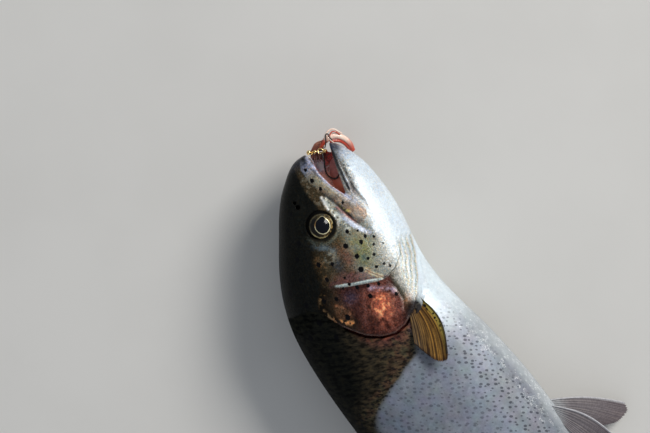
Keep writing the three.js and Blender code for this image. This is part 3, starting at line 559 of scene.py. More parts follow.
def paint(x, z, w, deep=None):
    """Colour of skin and scales at points in mm, pigment with some painted highlights, reflections and shade: colour,
    silveriness, distance to the nearest head spot, and how peppered it is.
    """
    x, z, w = (np.asarray(v, float) for v in (x, z, w))
    p = np.stack([x, z, np.abs(w) + 60 * (w < 0)], 1)
    soft, fine, grit = fbm(p, 16, 1) - 0.5, fbm(p, 4.5, 5) - 0.5, fbm(p, 1.6, 9, 2) - 0.5
    crisp = fbm(p, 2.4, 31, 3) - 0.5
    inside = -to_shape(x, z, FRONT)
    up, low = back(x), belly(x)
    # trunk
    h = z - zb(x) + 4.5 * soft + 2.5 * fine
    c = np.tile(np.array(SILVER), (len(x), 1)) * (1 + 0.30 * soft + 0.15 * fine)[:, None]
    reach = np.interp(x, [105, 130, 160, 200, 300], [24, 15, 11, 10, 11])
    c = lay(c, BELLY_WHITE, S(1.0, 0.1, (z - low + 5 * soft) / reach))
    c = lay(c, (0.69, 0.78, 0.84), 0.95 * S(140, 112, x) * S(-16, -26, z + 3 * soft))
    c = lay(c, ROSE, 0.5 * np.exp(-((z - LATERAL(x) - 1) / 8.0) ** 2) * S(165, 225, x) * S(430, 385, x) * (0.8 + 0.8 * fine))
    # painted shade: the lower flank a third darker between x 150 and 255, just above the belly
    c = c * (1 - 0.34 * S(150, 178, x) * S(255, 215, x) * S(-24, -32, z) * S(0, 9, z - low))[:, None]
    dark = S(-4.0, 4.0, h) * np.where(x > 175, S(2, 14, z - LATERAL(x) - 6), 1)
    c = lay(c, OLIVE, dark)
    c = lay(c, (0.095, 0.088, 0.062), 0.85 * S(388, 410, x) * S(-14, -2, z + 3 * fine))
    c = lay(c, (0.15, 0.15, 0.135), 0.8 * S(392, 412, x) * S(-2, -14, z + 3 * fine))
    c = lay(c, RUST, 0.62 * S(1, 7, h) * S(30, 20, h) * S(180, 140, x) * np.clip(0.45 + 3.2 * crisp, 0, 1))
    c = lay(c, (0.026, 0.020, 0.014), 0.8 * S(10, 30, h))
    c = lay(c, CROWN, S(30, 46, h))
    c = lay(c, CROWN, 0.92 * S(up - 15, up - 5, z + 4 * soft))
    silver = S(3, -4, h) * S(0, 12, z - low) * 0.85 * S(412, 395, x) + 0.06 + 0.25 * np.exp(-((z - LATERAL(x) - 8) / 10) ** 2) * S(170, 200, x)
    # head
    hc = np.tile(np.array(CHEEK), (len(x), 1))
    hc = lay(hc, BROWN, S(-7, 0, z + 4 * soft + 3 * fine))
    for px_, pz_, pl_, ph_, pt_, tone, much in PATCHES:
        hc = lay(hc, tone, much * bump(x, z, px_, pz_, pl_, ph_, pt_) * np.clip(0.95 + 1.3 * crisp + 0.8 * grit, 0, 1.15))
    # painted reflection: a bluish grey streak behind the eye
    bd, ba = to_line(x, z, [(50.5, 15), (52.5, 12), (54.6, 8), (57.6, 4.4)])
    hc = lay(hc, (0.17, 0.235, 0.27), 0.8 * np.exp(-(bd / 2.0) ** 2) * np.clip(0.5 + 2.6 * crisp, 0, 1))
    hc = lay(hc, (0.36, 0.34, 0.26), 0.85 * bump(x, z, 59.7, 6.6, 2.9, 3.3) * S(-0.05, 0.12, grit))
    hc = lay(hc, (0.30, 0.16, 0.05), 0.6 * bump(x, z, 66, 12.5, 6.5, 4.5) * S(0.10, 0.26, grit + 0.6 * crisp))
    # preopercle: a pale line painted along its ridge as a highlight, with gilt wrinkles at its lower end
    pd, pa = to_line(x, z, PREOPERCLE_GLINT)
    hc = lay(hc, (0.10, 0.040, 0.038), 0.8 * np.exp(-((pd - 1.8) / 0.9) ** 2))
    hc = lay(hc, (0.78, 0.90, 0.86), np.exp(-(pd / (1.08 * (0.45 + 0.55 * S(0, 0.25, pa)))) ** 4) * S(0, 0.06, pa) * S(1, 0.93, pa))
    # opercle
    back_of = x > np.interp(z, [p_[1] for p_ in PREOPERCLE][::-1], [p_[0] for p_ in PREOPERCLE][::-1])
    op = S(0.0, 1.2, np.where(back_of, to_line(x, z, PREOPERCLE)[0], -1)) * S(-24, -19.5, z)
    oc = np.tile(np.array(MAROON), (len(x), 1)) * (1 + 1.1 * crisp + 0.9 * grit)[:, None]
    oc = lay(oc, (0.030, 0.021, 0.013), S(6, 15, z + 4 * crisp))
    oc = lay(oc, (0.060, 0.044, 0.075), 0.7 * bump(x, z, 84.5, 5.5, 3.2, 4.2))
    sd, sa = to_line(x, z, [(83.5, -3.6), (88, -1.2), (92, 1), (100.3, 4.7)])
    oc = lay(oc, (0.17, 0.062, 0.048), 0.6 * np.exp(-(sd / 1.3) ** 2) * np.clip(0.7 + 2 * crisp, 0, 1))
    hot = np.clip(1.35 * bump(x, z, 96.8, -7.6, 8.6, 5.6, 12), 0, 1)
    oc = lay(oc, GLOW, hot * np.clip(0.72 + 2.3 * crisp + 1.2 * grit, 0.12, 1))
    oc = lay(oc, (1.0, 0.44, 0.20), hot * hot * S(0.06, 0.22, grit + 0.8 * crisp))
    oc = lay(oc, (0.16, 0.045, 0.034), 0.85 * bump(x, z, 103.0, -14.5, 6, 3.6, 40))
    oc = lay(oc, (0.012, 0.009, 0.009), 0.85 * bump(x, z, 93.4, -1.0, 2.0, 1.7) * (0.9 + 2 * grit))
    oc = lay(oc, (0.020, 0.012, 0.012), 0.85 * bump(x, z, 101.0, 0.4, 3.4, 2.3, -20) * (0.9 + 2 * grit))
    # painted glints: a purple grey streak across the lower opercle
    ld, la = to_line(x, z, [(85.0, -7.2), (87.0, -10.0), (89.6, -14.4), (93.5, -17.6)])
    oc = lay(oc, (0.52, 0.38, 0.50), 0.85 * np.exp(-(ld / 1.3) ** 2) * np.clip(0.55 + 3.2 * crisp, 0, 1))
    ed, ea = to_line(x, z, [(84.5, 14.8), (86.1, 12.7), (89, 10.6), (91.7, 10.1), (93.6, 11.8)])
    oc = lay(oc, (0.30, 0.12, 0.045), 0.5 * bump(x, z, 89.5, 13.5, 5, 3.5) * np.clip(0.6 + 3 * crisp, 0, 1))
    oc = lay(oc, (0.42, 0.16, 0.06), 0.7 * np.exp(-(ed / 0.5) ** 2) * np.clip(0.8 + 2.5 * grit, 0, 1))
    hc = hc * (1 - op[:, None]) + oc * op[:, None]
    # painted glints: pale gold lines either side of a brown line along the wrinkles at the preopercle's lower end
    fd, fa = to_line(x, z, [(73.8, -9.2), (75.8, -10.4), (77.9, -12.2), (82.0, -15.6)])
    hc = lay(hc, (0.72, 0.64, 0.42), 0.9 * np.exp(-(np.abs(fd - 0.7) / 0.45) ** 2) * np.clip(0.8 + 1.8 * crisp, 0, 1))
    hc = lay(hc, (0.22, 0.10, 0.06), 0.7 * np.exp(-(fd / 0.45) ** 2))
    sub = S(-17.8, -20.6, z - 0.05 * (x - 95)) * S(78, 86, x)
    hc = lay(hc, (0.072, 0.068, 0.046), 0.94 * sub * np.clip(0.95 + 1.6 * crisp + 1.0 * grit, 0, 1))
    hc = lay(hc, (0.42, 0.20, 0.09), 0.7 * bump(x, z, 103.5, -21.5, 4.5, 2.6, 50) * (0.8 + 1.5 * crisp))
    gd, ga = to_line(x, z, GOLD_ARC)
    hc = lay(hc, (0.010, 0.008, 0.006), 0.8 * np.exp(-(gd / 2.6) ** 2))
    gold = np.exp(-((gd + 0.8 * crisp) / 0.95) ** 2) * S(-0.06, 0.08, crisp + 1.3 * grit) * S(0, 0.1, ga) * S(1, 0.95, ga)
    hc = lay(hc, np.array(GOLD), gold * (0.6 + 0.4 * ga))
    hc = lay(hc, (0.72, 0.27, 0.085), 0.9 * gold * S(0.45, 0.75, ga))
    # pale throat and jaw
    jm = S(4.5, -3.5, z - jaw_line(x) + 3 * soft + 2 * fine)
    cloud = np.clip(0.5 + 2.2 * soft + 1.0 * fine, 0, 1)[:, None]
    jaw = np.array(JAW_WHITE) * (1 - 0.42 * cloud) + np.array((0.46, 0.54, 0.66)) * 0.42 * cloud
    hc = hc * (1 - jm[:, None]) + jaw * jm[:, None]
    # folds of the gill membrane: white, rust and grey green in turn
    t = np.mod((inside + 2.2 * soft + 0.5 * fine) / 2.4, 1.0)
    sm = S(-23.5, -27.0, z) * S(60, 70, x) * S(112, 104, x) * S(0.2, 1.0, inside) * S(13, 9, inside)
    hc = lay(hc, (0.42, 0.45, 0.37), 0.85 * sm * S(0.50, 0.60, t) * S(0.98, 0.86, t))
    hc = lay(hc, (0.70, 0.50, 0.27), 0.6 * sm * np.exp(-((t - 0.50) / 0.09) ** 2))
    hc = lay(hc, (0.40, 0.60, 0.70), 0.7 * sm * np.exp(-((t - 0.93) / 0.07) ** 2))
    hc = lay(hc, (0.82, 0.84, 0.82), 0.5 * sm * np.exp(-((t - 0.25) / 0.14) ** 2))
    hc = hc * (1 - 0.15 * sm)[:, None]
    shade = S(-9, 1.5, z - crown_line(x) + 5 * fine + 3.5 * crisp) * S(40, 52, x)
    hc = hc * (1 - 0.72 * shade)[:, None]
    hc = lay(hc, CROWN, S(-2.5, 2.5, z - crown_line(x) + 3 * fine + 1.2 * crisp))
    hc = lay(hc, (0.35, 0.20, 0.17), 0.5 * S(1.3, 0.2, inside) * S(21, 15, z) * S(-30, -20, z))
    # snout: dark, bluish at the tip, tan and stippled towards the jaw bone
    below_crown = crown_line(x) - z
    sn = S(42, 34, x) * S(-2.5, -0.5, below_crown)
    hc = lay(hc, (0.060, 0.042, 0.020), 0.85 * sn * S(9, 3, below_crown) * S(2, 6, x))
    hc = lay(hc, (0.21, 0.175, 0.115), 0.8 * sn * 0.6 * S(0.10, 0.24, crisp + 0.9 * grit) * S(7, 2.5, below_crown) * S(3, 8, x))
    hc = lay(hc, (0.020, 0.024, 0.040), 0.95 * S(10, 4, x) * S(-0.4, 1.8, z) * S(-14, -6, below_crown))
    # bones of the jaw
    md = to_shape(x, z, MAXILLA)
    mx = S(0.5, -0.4, md)
    mc = np.tile(np.array((0.285, 0.255, 0.180)), (len(x), 1))
    mc = lay(mc, (0.245, 0.200, 0.165), S(18, 34, x + 4 * fine))
    mc = lay(mc, (0.225, 0.245, 0.370), S(16, 7, x))
    for px_, pz_, pl_, ph_, pt_ in ((24.3, -1.1, 3.4, 1.3, -38), (38.2, -11.6, 3.4, 1.9, -40), (38.6, -16.6, 2.4, 1.5, -40), (43.0, -19.4, 2.6, 1.8, 0), (31, -6.0, 2.2, 1.4, -40)):
        mc = lay(mc, (0.36, 0.165, 0.060), 0.7 * bump(x, z, px_, pz_, pl_, ph_, pt_) * np.clip(0.7 + 2.6 * crisp, 0, 1))
    mc = lay(mc, (0.022, 0.027, 0.045), 0.93 * S(9, 4, x) * S(0.6, 2.2, z))
    mc = mc * np.clip(1 + 1.1 * crisp + 0.7 * grit, 0.4, 1.6)[:, None]
    hc = hc * (1 - mx[:, None]) + mc * mx[:, None]
    kd, ka = to_line(x, z, [(33.0, -6.8), (38.6, -10.0), (44.4, -12.9)])
    hc = lay(hc, (0.010, 0.009, 0.009), 0.95 * np.exp(-(kd / 0.75) ** 2) * S(0, 0.12, ka) * S(1, 0.8, ka) * np.clip(1.1 + 3.0 * grit, 0, 1))
    kd, ka = to_line(x, z, [(34.8, -9.0), (39.0, -11.4)])
    hc = lay(hc, (0.62, 0.55, 0.17), 0.9 * np.exp(-(kd / 1.0) ** 2) * S(-0.04, 0.10, grit))
    ud, ua = to_line(x, z, [(3, 1.3), (6.4, 0.6), (9.8, -0.9), (14.2, -2.9), (19, -4.9), (23.9, -8.2), (28.8, -11.9), (36, -17.5), (41, -20.6)])
    hc = lay(hc, (0.58, 0.61, 0.84), 0.92 * np.exp(-(ud / (0.80 + 0.45 * S(4, 8, x) - 0.1 * S(10, 16, x))) ** 2) * S(1.0, 0.75, ua) * np.clip(0.85 + 1.2 * grit, 0, 1))
    hc = lay(hc, (0.03, 0.03, 0.03), 0.45 * np.exp(-((md - 0.1) / 0.3) ** 2) * (x > 9) * S(44, 34, x))
    # beige stippled band below the eye's front with painted glints in it, a white painted highlight, the red fold
    # behind the jaw bone and its pale membrane
    wd, wa = to_line(x, z, [(27.2, -0.6), (36.5, -3.6), (43.4, -6.4), (50.8, -8.4)])
    hc = lay(hc, (0.31, 0.32, 0.27), 0.90 * np.exp(-(wd / 1.9) ** 4) * S(0, 0.12, wa) * S(1, 0.85, wa))
    hc = lay(hc, (0.66, 0.69, 0.63), 0.9 * np.exp(-(wd / 1.5) ** 4) * S(0.02, 0.14, grit) * S(0, 0.08, wa) * S(1, 0.9, wa))
    hc = lay(hc, (0.020, 0.018, 0.012), 0.9 * np.exp(-(wd / 1.7) ** 4) * S(-0.10, -0.18, grit))
    wd, wa = to_line(x, z, [(25.9, 0.5), (30, -0.2), (34.8, -1.2)])
    hc = lay(hc, (0.98, 0.98, 0.95), np.exp(-(wd / 0.62) ** 2) * S(-0.25, -0.05, grit) * S(0, 0.1, wa))
    gd, ga = to_line(x, z, [(35.5, -4.8), (42.9, -8.6), (47.2, -11.4), (50.6, -14.6), (54.4, -18.6)])
    hc = lay(hc, (0.64, 0.70, 0.86), 0.92 * np.exp(-(gd / 1.45) ** 4) * S(0.1, 0.35, ga) * np.clip(0.9 + 1.2 * grit, 0, 1))
    gd, ga = to_line(x, z, [(33.6, -5.2), (40.0, -9.0), (44.9, -12.2), (49.0, -15.0)])
    hc = lay(hc, (0.20, 0.052, 0.050), 0.9 * np.exp(-(gd / 0.70) ** 2) * S(0, 0.1, ga) * S(1, 0.75, ga))
    # lips of the lower jaw: dark gum, deepened to near black in the rim's groove as painted shade, grey green band,
    # thin brown groove
    reachj = S(32, 27, x)
    ld, la = to_line(x, z, [(4, -15.0), (7, -15.4), (13.5, -16.6), (23, -18.2), (30, -18.6)])
    hc = lay(hc, (0.120, 0.135, 0.130), 0.94 * np.exp(-(ld / 2.75) ** 4) * reachj * np.clip(0.95 + 1.2 * crisp, 0, 1))
    ld, la = to_line(x, z, [(17, -15.0), (24, -16.2), (30.3, -16.8), (34, -18.5)])
    hc = lay(hc, (0.72, 0.78, 0.90), 0.85 * np.exp(-(ld / 0.55) ** 2) * S(0, 0.2, la))
    hc = lay(hc, (0.085, 0.070, 0.080), 0.9 * bump(x, z, 28.5, -17.2, 7.0, 2.4, -8) * np.clip(0.8 + 2 * crisp, 0, 1))
    ld, la = to_line(x, z, LIP_LINE)
    hc = lay(hc, (0.085, 0.055, 0.035), 0.85 * np.exp(-(ld / 0.45) ** 2) * S(0, 0.2, la) * S(1, 0.85, la))
    # painted shade: near black in the groove along the lower jaw's rim
    ld2, la2 = to_line(x, z, [(-1, -13.2), (2, -13.4), (6.3, -13.7), (12.4, -14.0), (20.4, -14.8), (26, -15.5), (30, -16.3)])
    hc = lay(hc, (0.007, 0.008, 0.011), 0.97 * np.exp(-(ld2 / (1.35 - 0.45 * la2)) ** 4) * S(1, 0.9, la2))
    hc = lay(hc, (0.270, 0.310, 0.410), 0.70 * S(14, 5, x + 3 * crisp) * S(-14, -17, z) * S(-29, -21, z))
    hc = lay(hc, (0.020, 0.025, 0.048), 0.93 * S(5.0, 1.6, x + 0.35 * (z + 13)) * S(-10, -12, z) * S(-21, -16.5, z))
    # socket and nostrils: a greenish rim behind the eye, and near black round the eye as painted shade of the gap
    # between eyeball and socket
    r = np.hypot(x - EYE["x"], z - EYE["z"])
    hc = lay(hc, (0.105, 0.125, 0.095), 0.7 * np.exp(-((r - 10.0) / 0.9) ** 2) * S(1.5, 6, x - EYE["x"]) * np.clip(0.8 + 2 * crisp, 0, 1))
    hc = lay(hc, (0.010, 0.010, 0.008), S(9.6, 8.0, r + 0.6 * crisp))
    hsilver = 0.05 + 0.22 * op * (1 - hot) + 0.22 * jm * (z < -20) + 0.15 * S(-3, -9, z) * (1 - jm) + 0.15 * mx
    on = S(-0.25, 0.25, inside + 0.15 * fine)
    # the pink-brown skin just behind the cover
    c = lay(c, (0.17, 0.052, 0.042), 0.75 * S(-9, -1, inside) * S(17, 6, z) * S(-26, -14, z) * np.clip(0.7 + 2 * crisp, 0, 1))
    c = c * (1 - on[:, None]) + hc * on[:, None]
    # painted shadow: a near black patch on the body just behind the breast fin's base, under the fin
    c = lay(c, (0.017, 0.011, 0.011), 0.96 * np.clip(1.9 * bump(x, z, 110.0, -21.3, 6.0, 4.6, 20), 0, 1))
    silver = silver * (1 - on) + hsilver * on
    c = c * (1 + 0.22 * grit + 0.12 * fine)[:, None]
    pale = S(0.30, 0.75, c.mean(1))
    pepper = (0.15 + 0.85 * on) * (1 - pale) * S(-1.5, 0.5, x) * (1 - 0.6 * hot * on)
    spot = np.full(len(x), 3.0)
    near = x < 125
    for sx, sz, sr in HEAD_SPOTS:
        spot[near] = np.minimum(spot[near], np.hypot((x[near] - sx) * 0.92, (z[near] - sz) * 1.08) - sr)
    if deep is not None:
        # painted light: the mouth's lining, gum and palate painted far brighter than the flesh's own colours, standing
        # in for light the deep mouth doesn't get
        mouth = S(-1.0, -2.3, deep) * (x < 52) * S(10.2, 11.2, r) * (z < 4)
        front = S(21, 13, x + 4 * fine) * S(-12.5, -9, z + 0.22 * (x - 6) - 6)
        mc = lay(np.tile(np.array(THROAT_ORANGE_BRIGHTENED), (len(x), 1)), GUM_BRIGHTENED, S(17, 9.5, x + 4 * fine))
        mc = lay(mc, (0.50, 0.22, 0.20), 0.75 * bump(x, z, 15, -9.5, 5, 3.4))
        mc = lay(mc, (0.80, 0.86, 1.0), 0.95 * S(15.0, 11.5, x) * S(-7.2, -5.0, z - 0.1 * fine) * (np.abs(w) < 8))
        m = mouth[:, None]
        c = c * (1 - m) + mc * (1 + 0.8 * grit + 0.5 * crisp)[:, None] * m
        spot = np.where(mouth > 0.5, 3.0, spot)
        pepper = pepper * (1 - mouth)
        silver = silver * (1 - mouth)
        # painted shade: deep in the gill slit the skin turns a near black red, the gill's red darkened as shade
        slit = S(-1.5, -2.4, deep) * (x > 58)
        c = lay(c, (0.035, 0.007, 0.006), slit)
        silver = silver * (1 - slit)
        # painted shade: near black where the skin sinks into the eye socket, and in the nostrils
        c = lay(c, (0.004, 0.004, 0.004), S(10.0, 8.2, r) * S(-1.2, -2.4, deep))
        for nx, nz, nr in NOSTRILS:
            c = lay(c, (0.004, 0.003, 0.003), S(nr + 0.5, nr - 0.1, np.hypot(x - nx, z - nz)))
    return np.clip(c, 0.002, 1), np.clip(silver, 0, 1), np.clip(spot, -3, 3), np.clip(pepper, 0, 1), on


def speckling(x, z, w):
    """How strongly the flank's small dashes (a) and the back's round black spots (b) show."""
    p = np.stack([x, z, np.abs(w)], 1)
    h = z - zb(x)
    low = z - belly(x)
    behind = S(0, 4, to_shape(x, z, FRONT))
    a = behind * S(4, 11, low + 5 * (fbm(p, 12, 21) - 0.5)) * S(34, 20, h) * np.where(x > 170, S(34, 20, z), 1) * (1 - bump(x, z, 112, -32, 12, 9))
    a = a * (1 - 0.42 * S(-28, -14, z) * S(3, -5, h) * S(250, 215, x))
    b = behind * S(160, 195, x) * S(2, 12, z - LATERAL(x)) + 0.45 * behind * S(8, 20, h) * S(112, 125, x)
    return np.clip(a, 0, 1), np.clip(b, 0, 1)


# ---------------------------------------------------------------- materials
class Look:
    """A node material: wires sockets or plain values into nodes."""

    def __init__(self, name):
        self.mat = bpy.data.materials.new(name)
        self.mat.use_nodes = True
        self.tree = self.mat.node_tree
        self.skin = self.tree.nodes["Principled BSDF"]

    def put(self, socket, value):
        if isinstance(value, bpy.types.NodeSocket):
            self.tree.links.new(value, socket)
        elif isinstance(value, (tuple, list)) and len(value) == 3 and socket.type == "RGBA":
            socket.default_value = (*value, 1)
        else:
            socket.default_value = value

    def node(self, kind, props=None, ins=None):
        n = self.tree.nodes.new(kind)
        for k, v in (props or {}).items():
            setattr(n, k, v)
        for k, v in (ins or {}).items():
            self.put(n.inputs[k], v)
        return n

    def attr(self, name, out="Fac"):
        return self.node("ShaderNodeAttribute", {"attribute_name": name}).outputs[out]

    def math(self, op, a, b=0.0, c=0.0, clamp=False):
        return self.node("ShaderNodeMath", {"operation": op, "use_clamp": clamp}, {0: a, 1: b, 2: c}).outputs[0]

    def span(self, v, a, b, c=0.0, d=1.0):
        return self.node("ShaderNodeMapRange", {"interpolation_type": "SMOOTHSTEP"}, {"Value": v, "From Min": a, "From Max": b, "To Min": c, "To Max": d}).outputs[0]

    def mix(self, fac, a, b, blend="MIX"):
        n = self.node("ShaderNodeMix", {"data_type": "RGBA", "blend_type": blend, "clamp_factor": True})
        self.put(n.inputs[0], fac)
        self.put(n.inputs[6], a)
        self.put(n.inputs[7], b)
        return n.outputs[2]

    def noise(self, vec, scale, detail=2.0, rough=0.5, out="Fac"):
        return self.node("ShaderNodeTexNoise", None, {"Vector": vec, "Scale": scale, "Detail": detail, "Roughness": rough}).outputs[out]

    def voronoi(self, vec, scale, feature="F1", dims="3D", randomness=1.0):
        return self.node("ShaderNodeTexVoronoi", {"feature": feature, "voronoi_dimensions": dims}, {"Vector": vec, "Scale": scale, "Randomness": randomness})

    def mapping(self, vec, scale=(1, 1, 1), turn=0.0, move=(0, 0, 0)):
        return self.node("ShaderNodeMapping", None, {"Vector": vec, "Scale": Vector(scale), "Rotation": Vector((0, 0, turn)), "Location": Vector(move)}).outputs[0]

    def bump(self, height, distance, strength=1.0, normal=None):
        n = self.node("ShaderNodeBump", None, {"Height": height, "Distance": distance, "Strength": strength})
        if normal is not None:
            self.put(n.inputs["Normal"], normal)
        return n.outputs[0]

    def set(self, **values):
        for k, v in values.items():
            self.put(self.skin.inputs[k.replace("_", " ")], v)


def fish_look(name, scaly):
    L = Look(name)
    P = L.attr("fish", "Vector")
    coat = L.attr("coat", "Vector")
    base = L.attr("paint", "Color")
    silver = L.attr("silver")
    n1 = L.noise(P, 0.45, 3)
    n2 = L.noise(P, 2.2, 3, 0.6)
    mid = L.noise(P, 1.15, 4, 0.62)
    on = L.attr("headed")
    # mottling, strong on the head and faint on the flank
    coarse = L.math("MULTIPLY_ADD", L.math("SUBTRACT", n1, 0.5), L.math("MULTIPLY_ADD", on, 0.75, 0.35), 1.0)
    much = L.math("MULTIPLY_ADD", on, 2.4, 0.3)
    m_ = L.math("MULTIPLY_ADD", L.math("SUBTRACT", mid, 0.5), much, 1.0)
    m2_ = L.math("MULTIPLY_ADD", L.math("SUBTRACT", n2, 0.5), much, 1.0)
    shade = L.math("MULTIPLY", coarse, L.math("MULTIPLY", m_, m2_))
    dim = L.node("ShaderNodeRGBToBW", None, {0: base}).outputs[0]
    calm = L.span(dim, 0.35, 0.8, 1.0, 0.22)
    shade = L.math("MULTIPLY_ADD", L.math("SUBTRACT", shade, 1.0), calm, 1.0)
    col = L.mix(1.0, base, shade, "MULTIPLY")
    # warm and cool grains side by side
    warm = L.noise(P, 0.9, 2, 0.5)
    col = L.mix(L.math("MULTIPLY", L.span(warm, 0.50, 0.66), L.math("MULTIPLY", on, L.math("MULTIPLY", calm, 0.75))), col, L.mix(1.0, col, (1.28, 0.98, 0.62), "MULTIPLY"))
    col = L.mix(L.math("MULTIPLY", L.span(warm, 0.46, 0.32), L.math("MULTIPLY", on, L.math("MULTIPLY", calm, 0.75))), col, L.mix(1.0, col, (0.72, 0.98, 1.12), "MULTIPLY"))
    # faint hues in the silver: green, blue and rose
    hue = L.noise(P, 0.13, 2, 0.5, "Color")
    tint = L.node("ShaderNodeMix", {"data_type": "RGBA", "blend_type": "SOFT_LIGHT"})
    L.put(tint.inputs[0], L.math("MULTIPLY", silver, 0.20))
    L.put(tint.inputs[6], col)
    L.put(tint.inputs[7], hue)
    col = tint.outputs[2]
    # pepper: small dark grains, thick on the cheek and snout
    vp = L.voronoi(P, 0.78)
    sz = L.node("ShaderNodeSeparateColor", None, {0: vp.outputs["Color"]}).outputs[0]
    pep = L.math("SUBTRACT", L.math("MULTIPLY_ADD", sz, 0.30, 0.02), vp.outputs["Distance"])
    pep = L.math("MULTIPLY", L.span(pep, -0.03, 0.05), L.attr("pepper"))
    col = L.mix(L.math("MULTIPLY", pep, 0.60), col, L.mix(1.0, col, (0.20, 0.19, 0.19), "MULTIPLY"))
    # the dark flank is mottled scale by scale, olive and rust against near black
    lattice = L.node("ShaderNodeMapping", {"vector_type": "TEXTURE"}, {"Vector": coat, "Scale": Vector((4.8, 1.9, 1)), "Rotation": Vector((0, 0, math.radians(-68)))}).outputs[0]
    lattice = L.noise(lattice, 1.0, 3, 0.60)
    sombre = L.math("MULTIPLY", L.span(dim, 0.13, 0.05), L.math("SUBTRACT", 1.0, on))
    col = L.mix(L.math("MULTIPLY", sombre, L.span(lattice, 0.50, 0.40, 0.0, 0.85)), col, L.mix(1.0, col, (0.20, 0.22, 0.26), "MULTIPLY"))
    col = L.mix(L.math("MULTIPLY", sombre, L.span(lattice, 0.50, 0.63, 0.0, 1.0)), col, L.mix(1.0, col, (1.75, 1.60, 1.25), "MULTIPLY"))
    # dashes on the flank, slanting down and back
    va = L.node("ShaderNodeMapping", {"vector_type": "TEXTURE"}, {"Vector": coat, "Scale": Vector((4.0, 2.8, 1)), "Rotation": Vector((0, 0, math.radians(-50)))}).outputs[0]
    v = L.voronoi(va, 1.0, dims="2D", randomness=0.82)
    size = L.node("ShaderNodeSeparateColor", None, {0: v.outputs["Color"]}).outputs[0]
    dash = L.math("SUBTRACT", L.math("MULTIPLY_ADD", size, 0.18, 0.125), v.outputs["Distance"])
    dash = L.math("ADD", dash, L.math("MULTIPLY_ADD", n2, 0.20, -0.10))
    dash = L.math("MULTIPLY", L.span(dash, -0.02, 0.06), L.attr("speck_a"))
    col = L.mix(L.math("MULTIPLY", dash, 0.80), col, L.mix(1.0, L.mix(0.35, col, (0.09, 0.10, 0.125)), (0.17, 0.18, 0.22), "MULTIPLY"))
    # round black spots on the back
    vb = L.voronoi(L.mapping(coat, (0.17, 0.17, 1), 0.4, (3.3, 1.7, 0)), 1.0, dims="2D", randomness=0.9)
    size = L.node("ShaderNodeSeparateColor", None, {0: vb.outputs["Color"]}).outputs[1]
    dot = L.math("SUBTRACT", L.math("MULTIPLY_ADD", size, 0.20, 0.04), vb.outputs["Distance"])
    dot = L.math("ADD", dot, L.math("MULTIPLY_ADD", n2, 0.12, -0.06))
    dot = L.math("MULTIPLY", L.span(dot, -0.015, 0.03), L.attr("speck_b"))
    col = L.mix(dot, col, BLACK)
    # the head's own spots
    d = L.math("ADD", L.attr("spot"), L.math("MULTIPLY_ADD", mid, 1.3, -0.65))
    d = L.math("ADD", d, L.math("MULTIPLY_ADD", n2, 0.5, -0.25))
    col = L.mix(L.span(d, 0.20, -0.18), col, BLACK)
    rough = L.math("ADD", L.span(n2, 0.2, 0.8, 0.26, 0.46), L.math("MULTIPLY_ADD", on, -0.16, 0.16))
    dim = L.node("ShaderNodeRGBToBW", None, {0: col}).outputs[0]
    gloss = L.span(dim, 0.008, 0.12, 0.10, 1.0)
    if scaly:
        edge, rnd, fade = L.attr("edge"), L.attr("rnd"), L.attr("fade")
        col = L.mix(L.math("MULTIPLY", L.math("MULTIPLY", fade, L.span(dim, 0.03, 0.2, 0.2, 1.0)), L.span(edge, 0.80, 1.0, 0.0, 0.15)), col, L.mix(1.0, col, (0.40, 0.41, 0.44), "MULTIPLY"))
        col = L.mix(L.math("MULTIPLY", fade, L.span(rnd, 0.0, 1.0, 0.0, 0.10)), col, L.mix(1.0, col, (1.55, 1.5, 1.45), "MULTIPLY"))
        col = L.mix(L.math("MULTIPLY", L.span(rnd, 0.6, 0.0), 0.08), col, L.mix(1.0, col, (0.55, 0.55, 0.58), "MULTIPLY"))
        rings = L.math("SINE", L.math("MULTIPLY", edge, 40.0))
        glint = L.math("MULTIPLY", L.span(fade, 0.98, 0.60), L.span(dim, 0.10, 0.22))
        normal = L.bump(rings, 0.000006, 0.25, L.bump(mid, 0.00014, L.math("MULTIPLY", glint, 0.55), L.bump(n2, 0.000015, 0.3)))
        rough = L.math("ADD", L.math("MULTIPLY_ADD", glint, -0.14, rough), L.math("MULTIPLY_ADD", rnd, 0.06, -0.02))
        wet = L.math("MULTIPLY_ADD", glint, 0.25, 0.06)
        # painted highlight: here and there a wet scale along the belly is painted near white, as a glint
        along = L.node("ShaderNodeSeparateXYZ", None, {0: P}).outputs[0]
        painted_shine = L.math("MULTIPLY", L.math("MULTIPLY", L.span(rnd, 0.45, 0.85), L.span(fade, 0.97, 0.84)), L.math("MULTIPLY", L.span(dim, 0.10, 0.20), L.math("MULTIPLY", L.span(mid, 0.45, 0.55), L.span(n2, 0.50, 0.58))))
        col = L.mix(L.math("MULTIPLY", painted_shine, L.span(along, 235, 190, 0.0, 0.80)), col, (0.93, 0.95, 0.95))
    else:
        pores = L.voronoi(P, 1.1).outputs["Distance"]
        wrinkle = L.math("ADD", mid, L.math("MULTIPLY", n2, 0.5))
        normal = L.bump(pores, 0.00006, 0.4, L.bump(wrinkle, 0.00030, 0.55, L.bump(n1, 0.0002, 0.5)))
        wet = L.math("MULTIPLY_ADD", on, 0.48, 0.02)
        rough = L.math("MULTIPLY_ADD", on, -0.12, L.math("ADD", rough, 0.12))
    L.set(Base_Color=col, Metallic=L.math("MULTIPLY", silver, 0.20), Roughness=rough, Normal=normal, Coat_Weight=L.math("MULTIPLY", gloss, wet), Coat_Roughness=0.10,
          Coat_Normal=normal, Specular_IOR_Level=L.math("MULTIPLY", gloss, 0.42 if scaly else L.math("MULTIPLY_ADD", on, 0.36, 0.14)))
    return L.mat


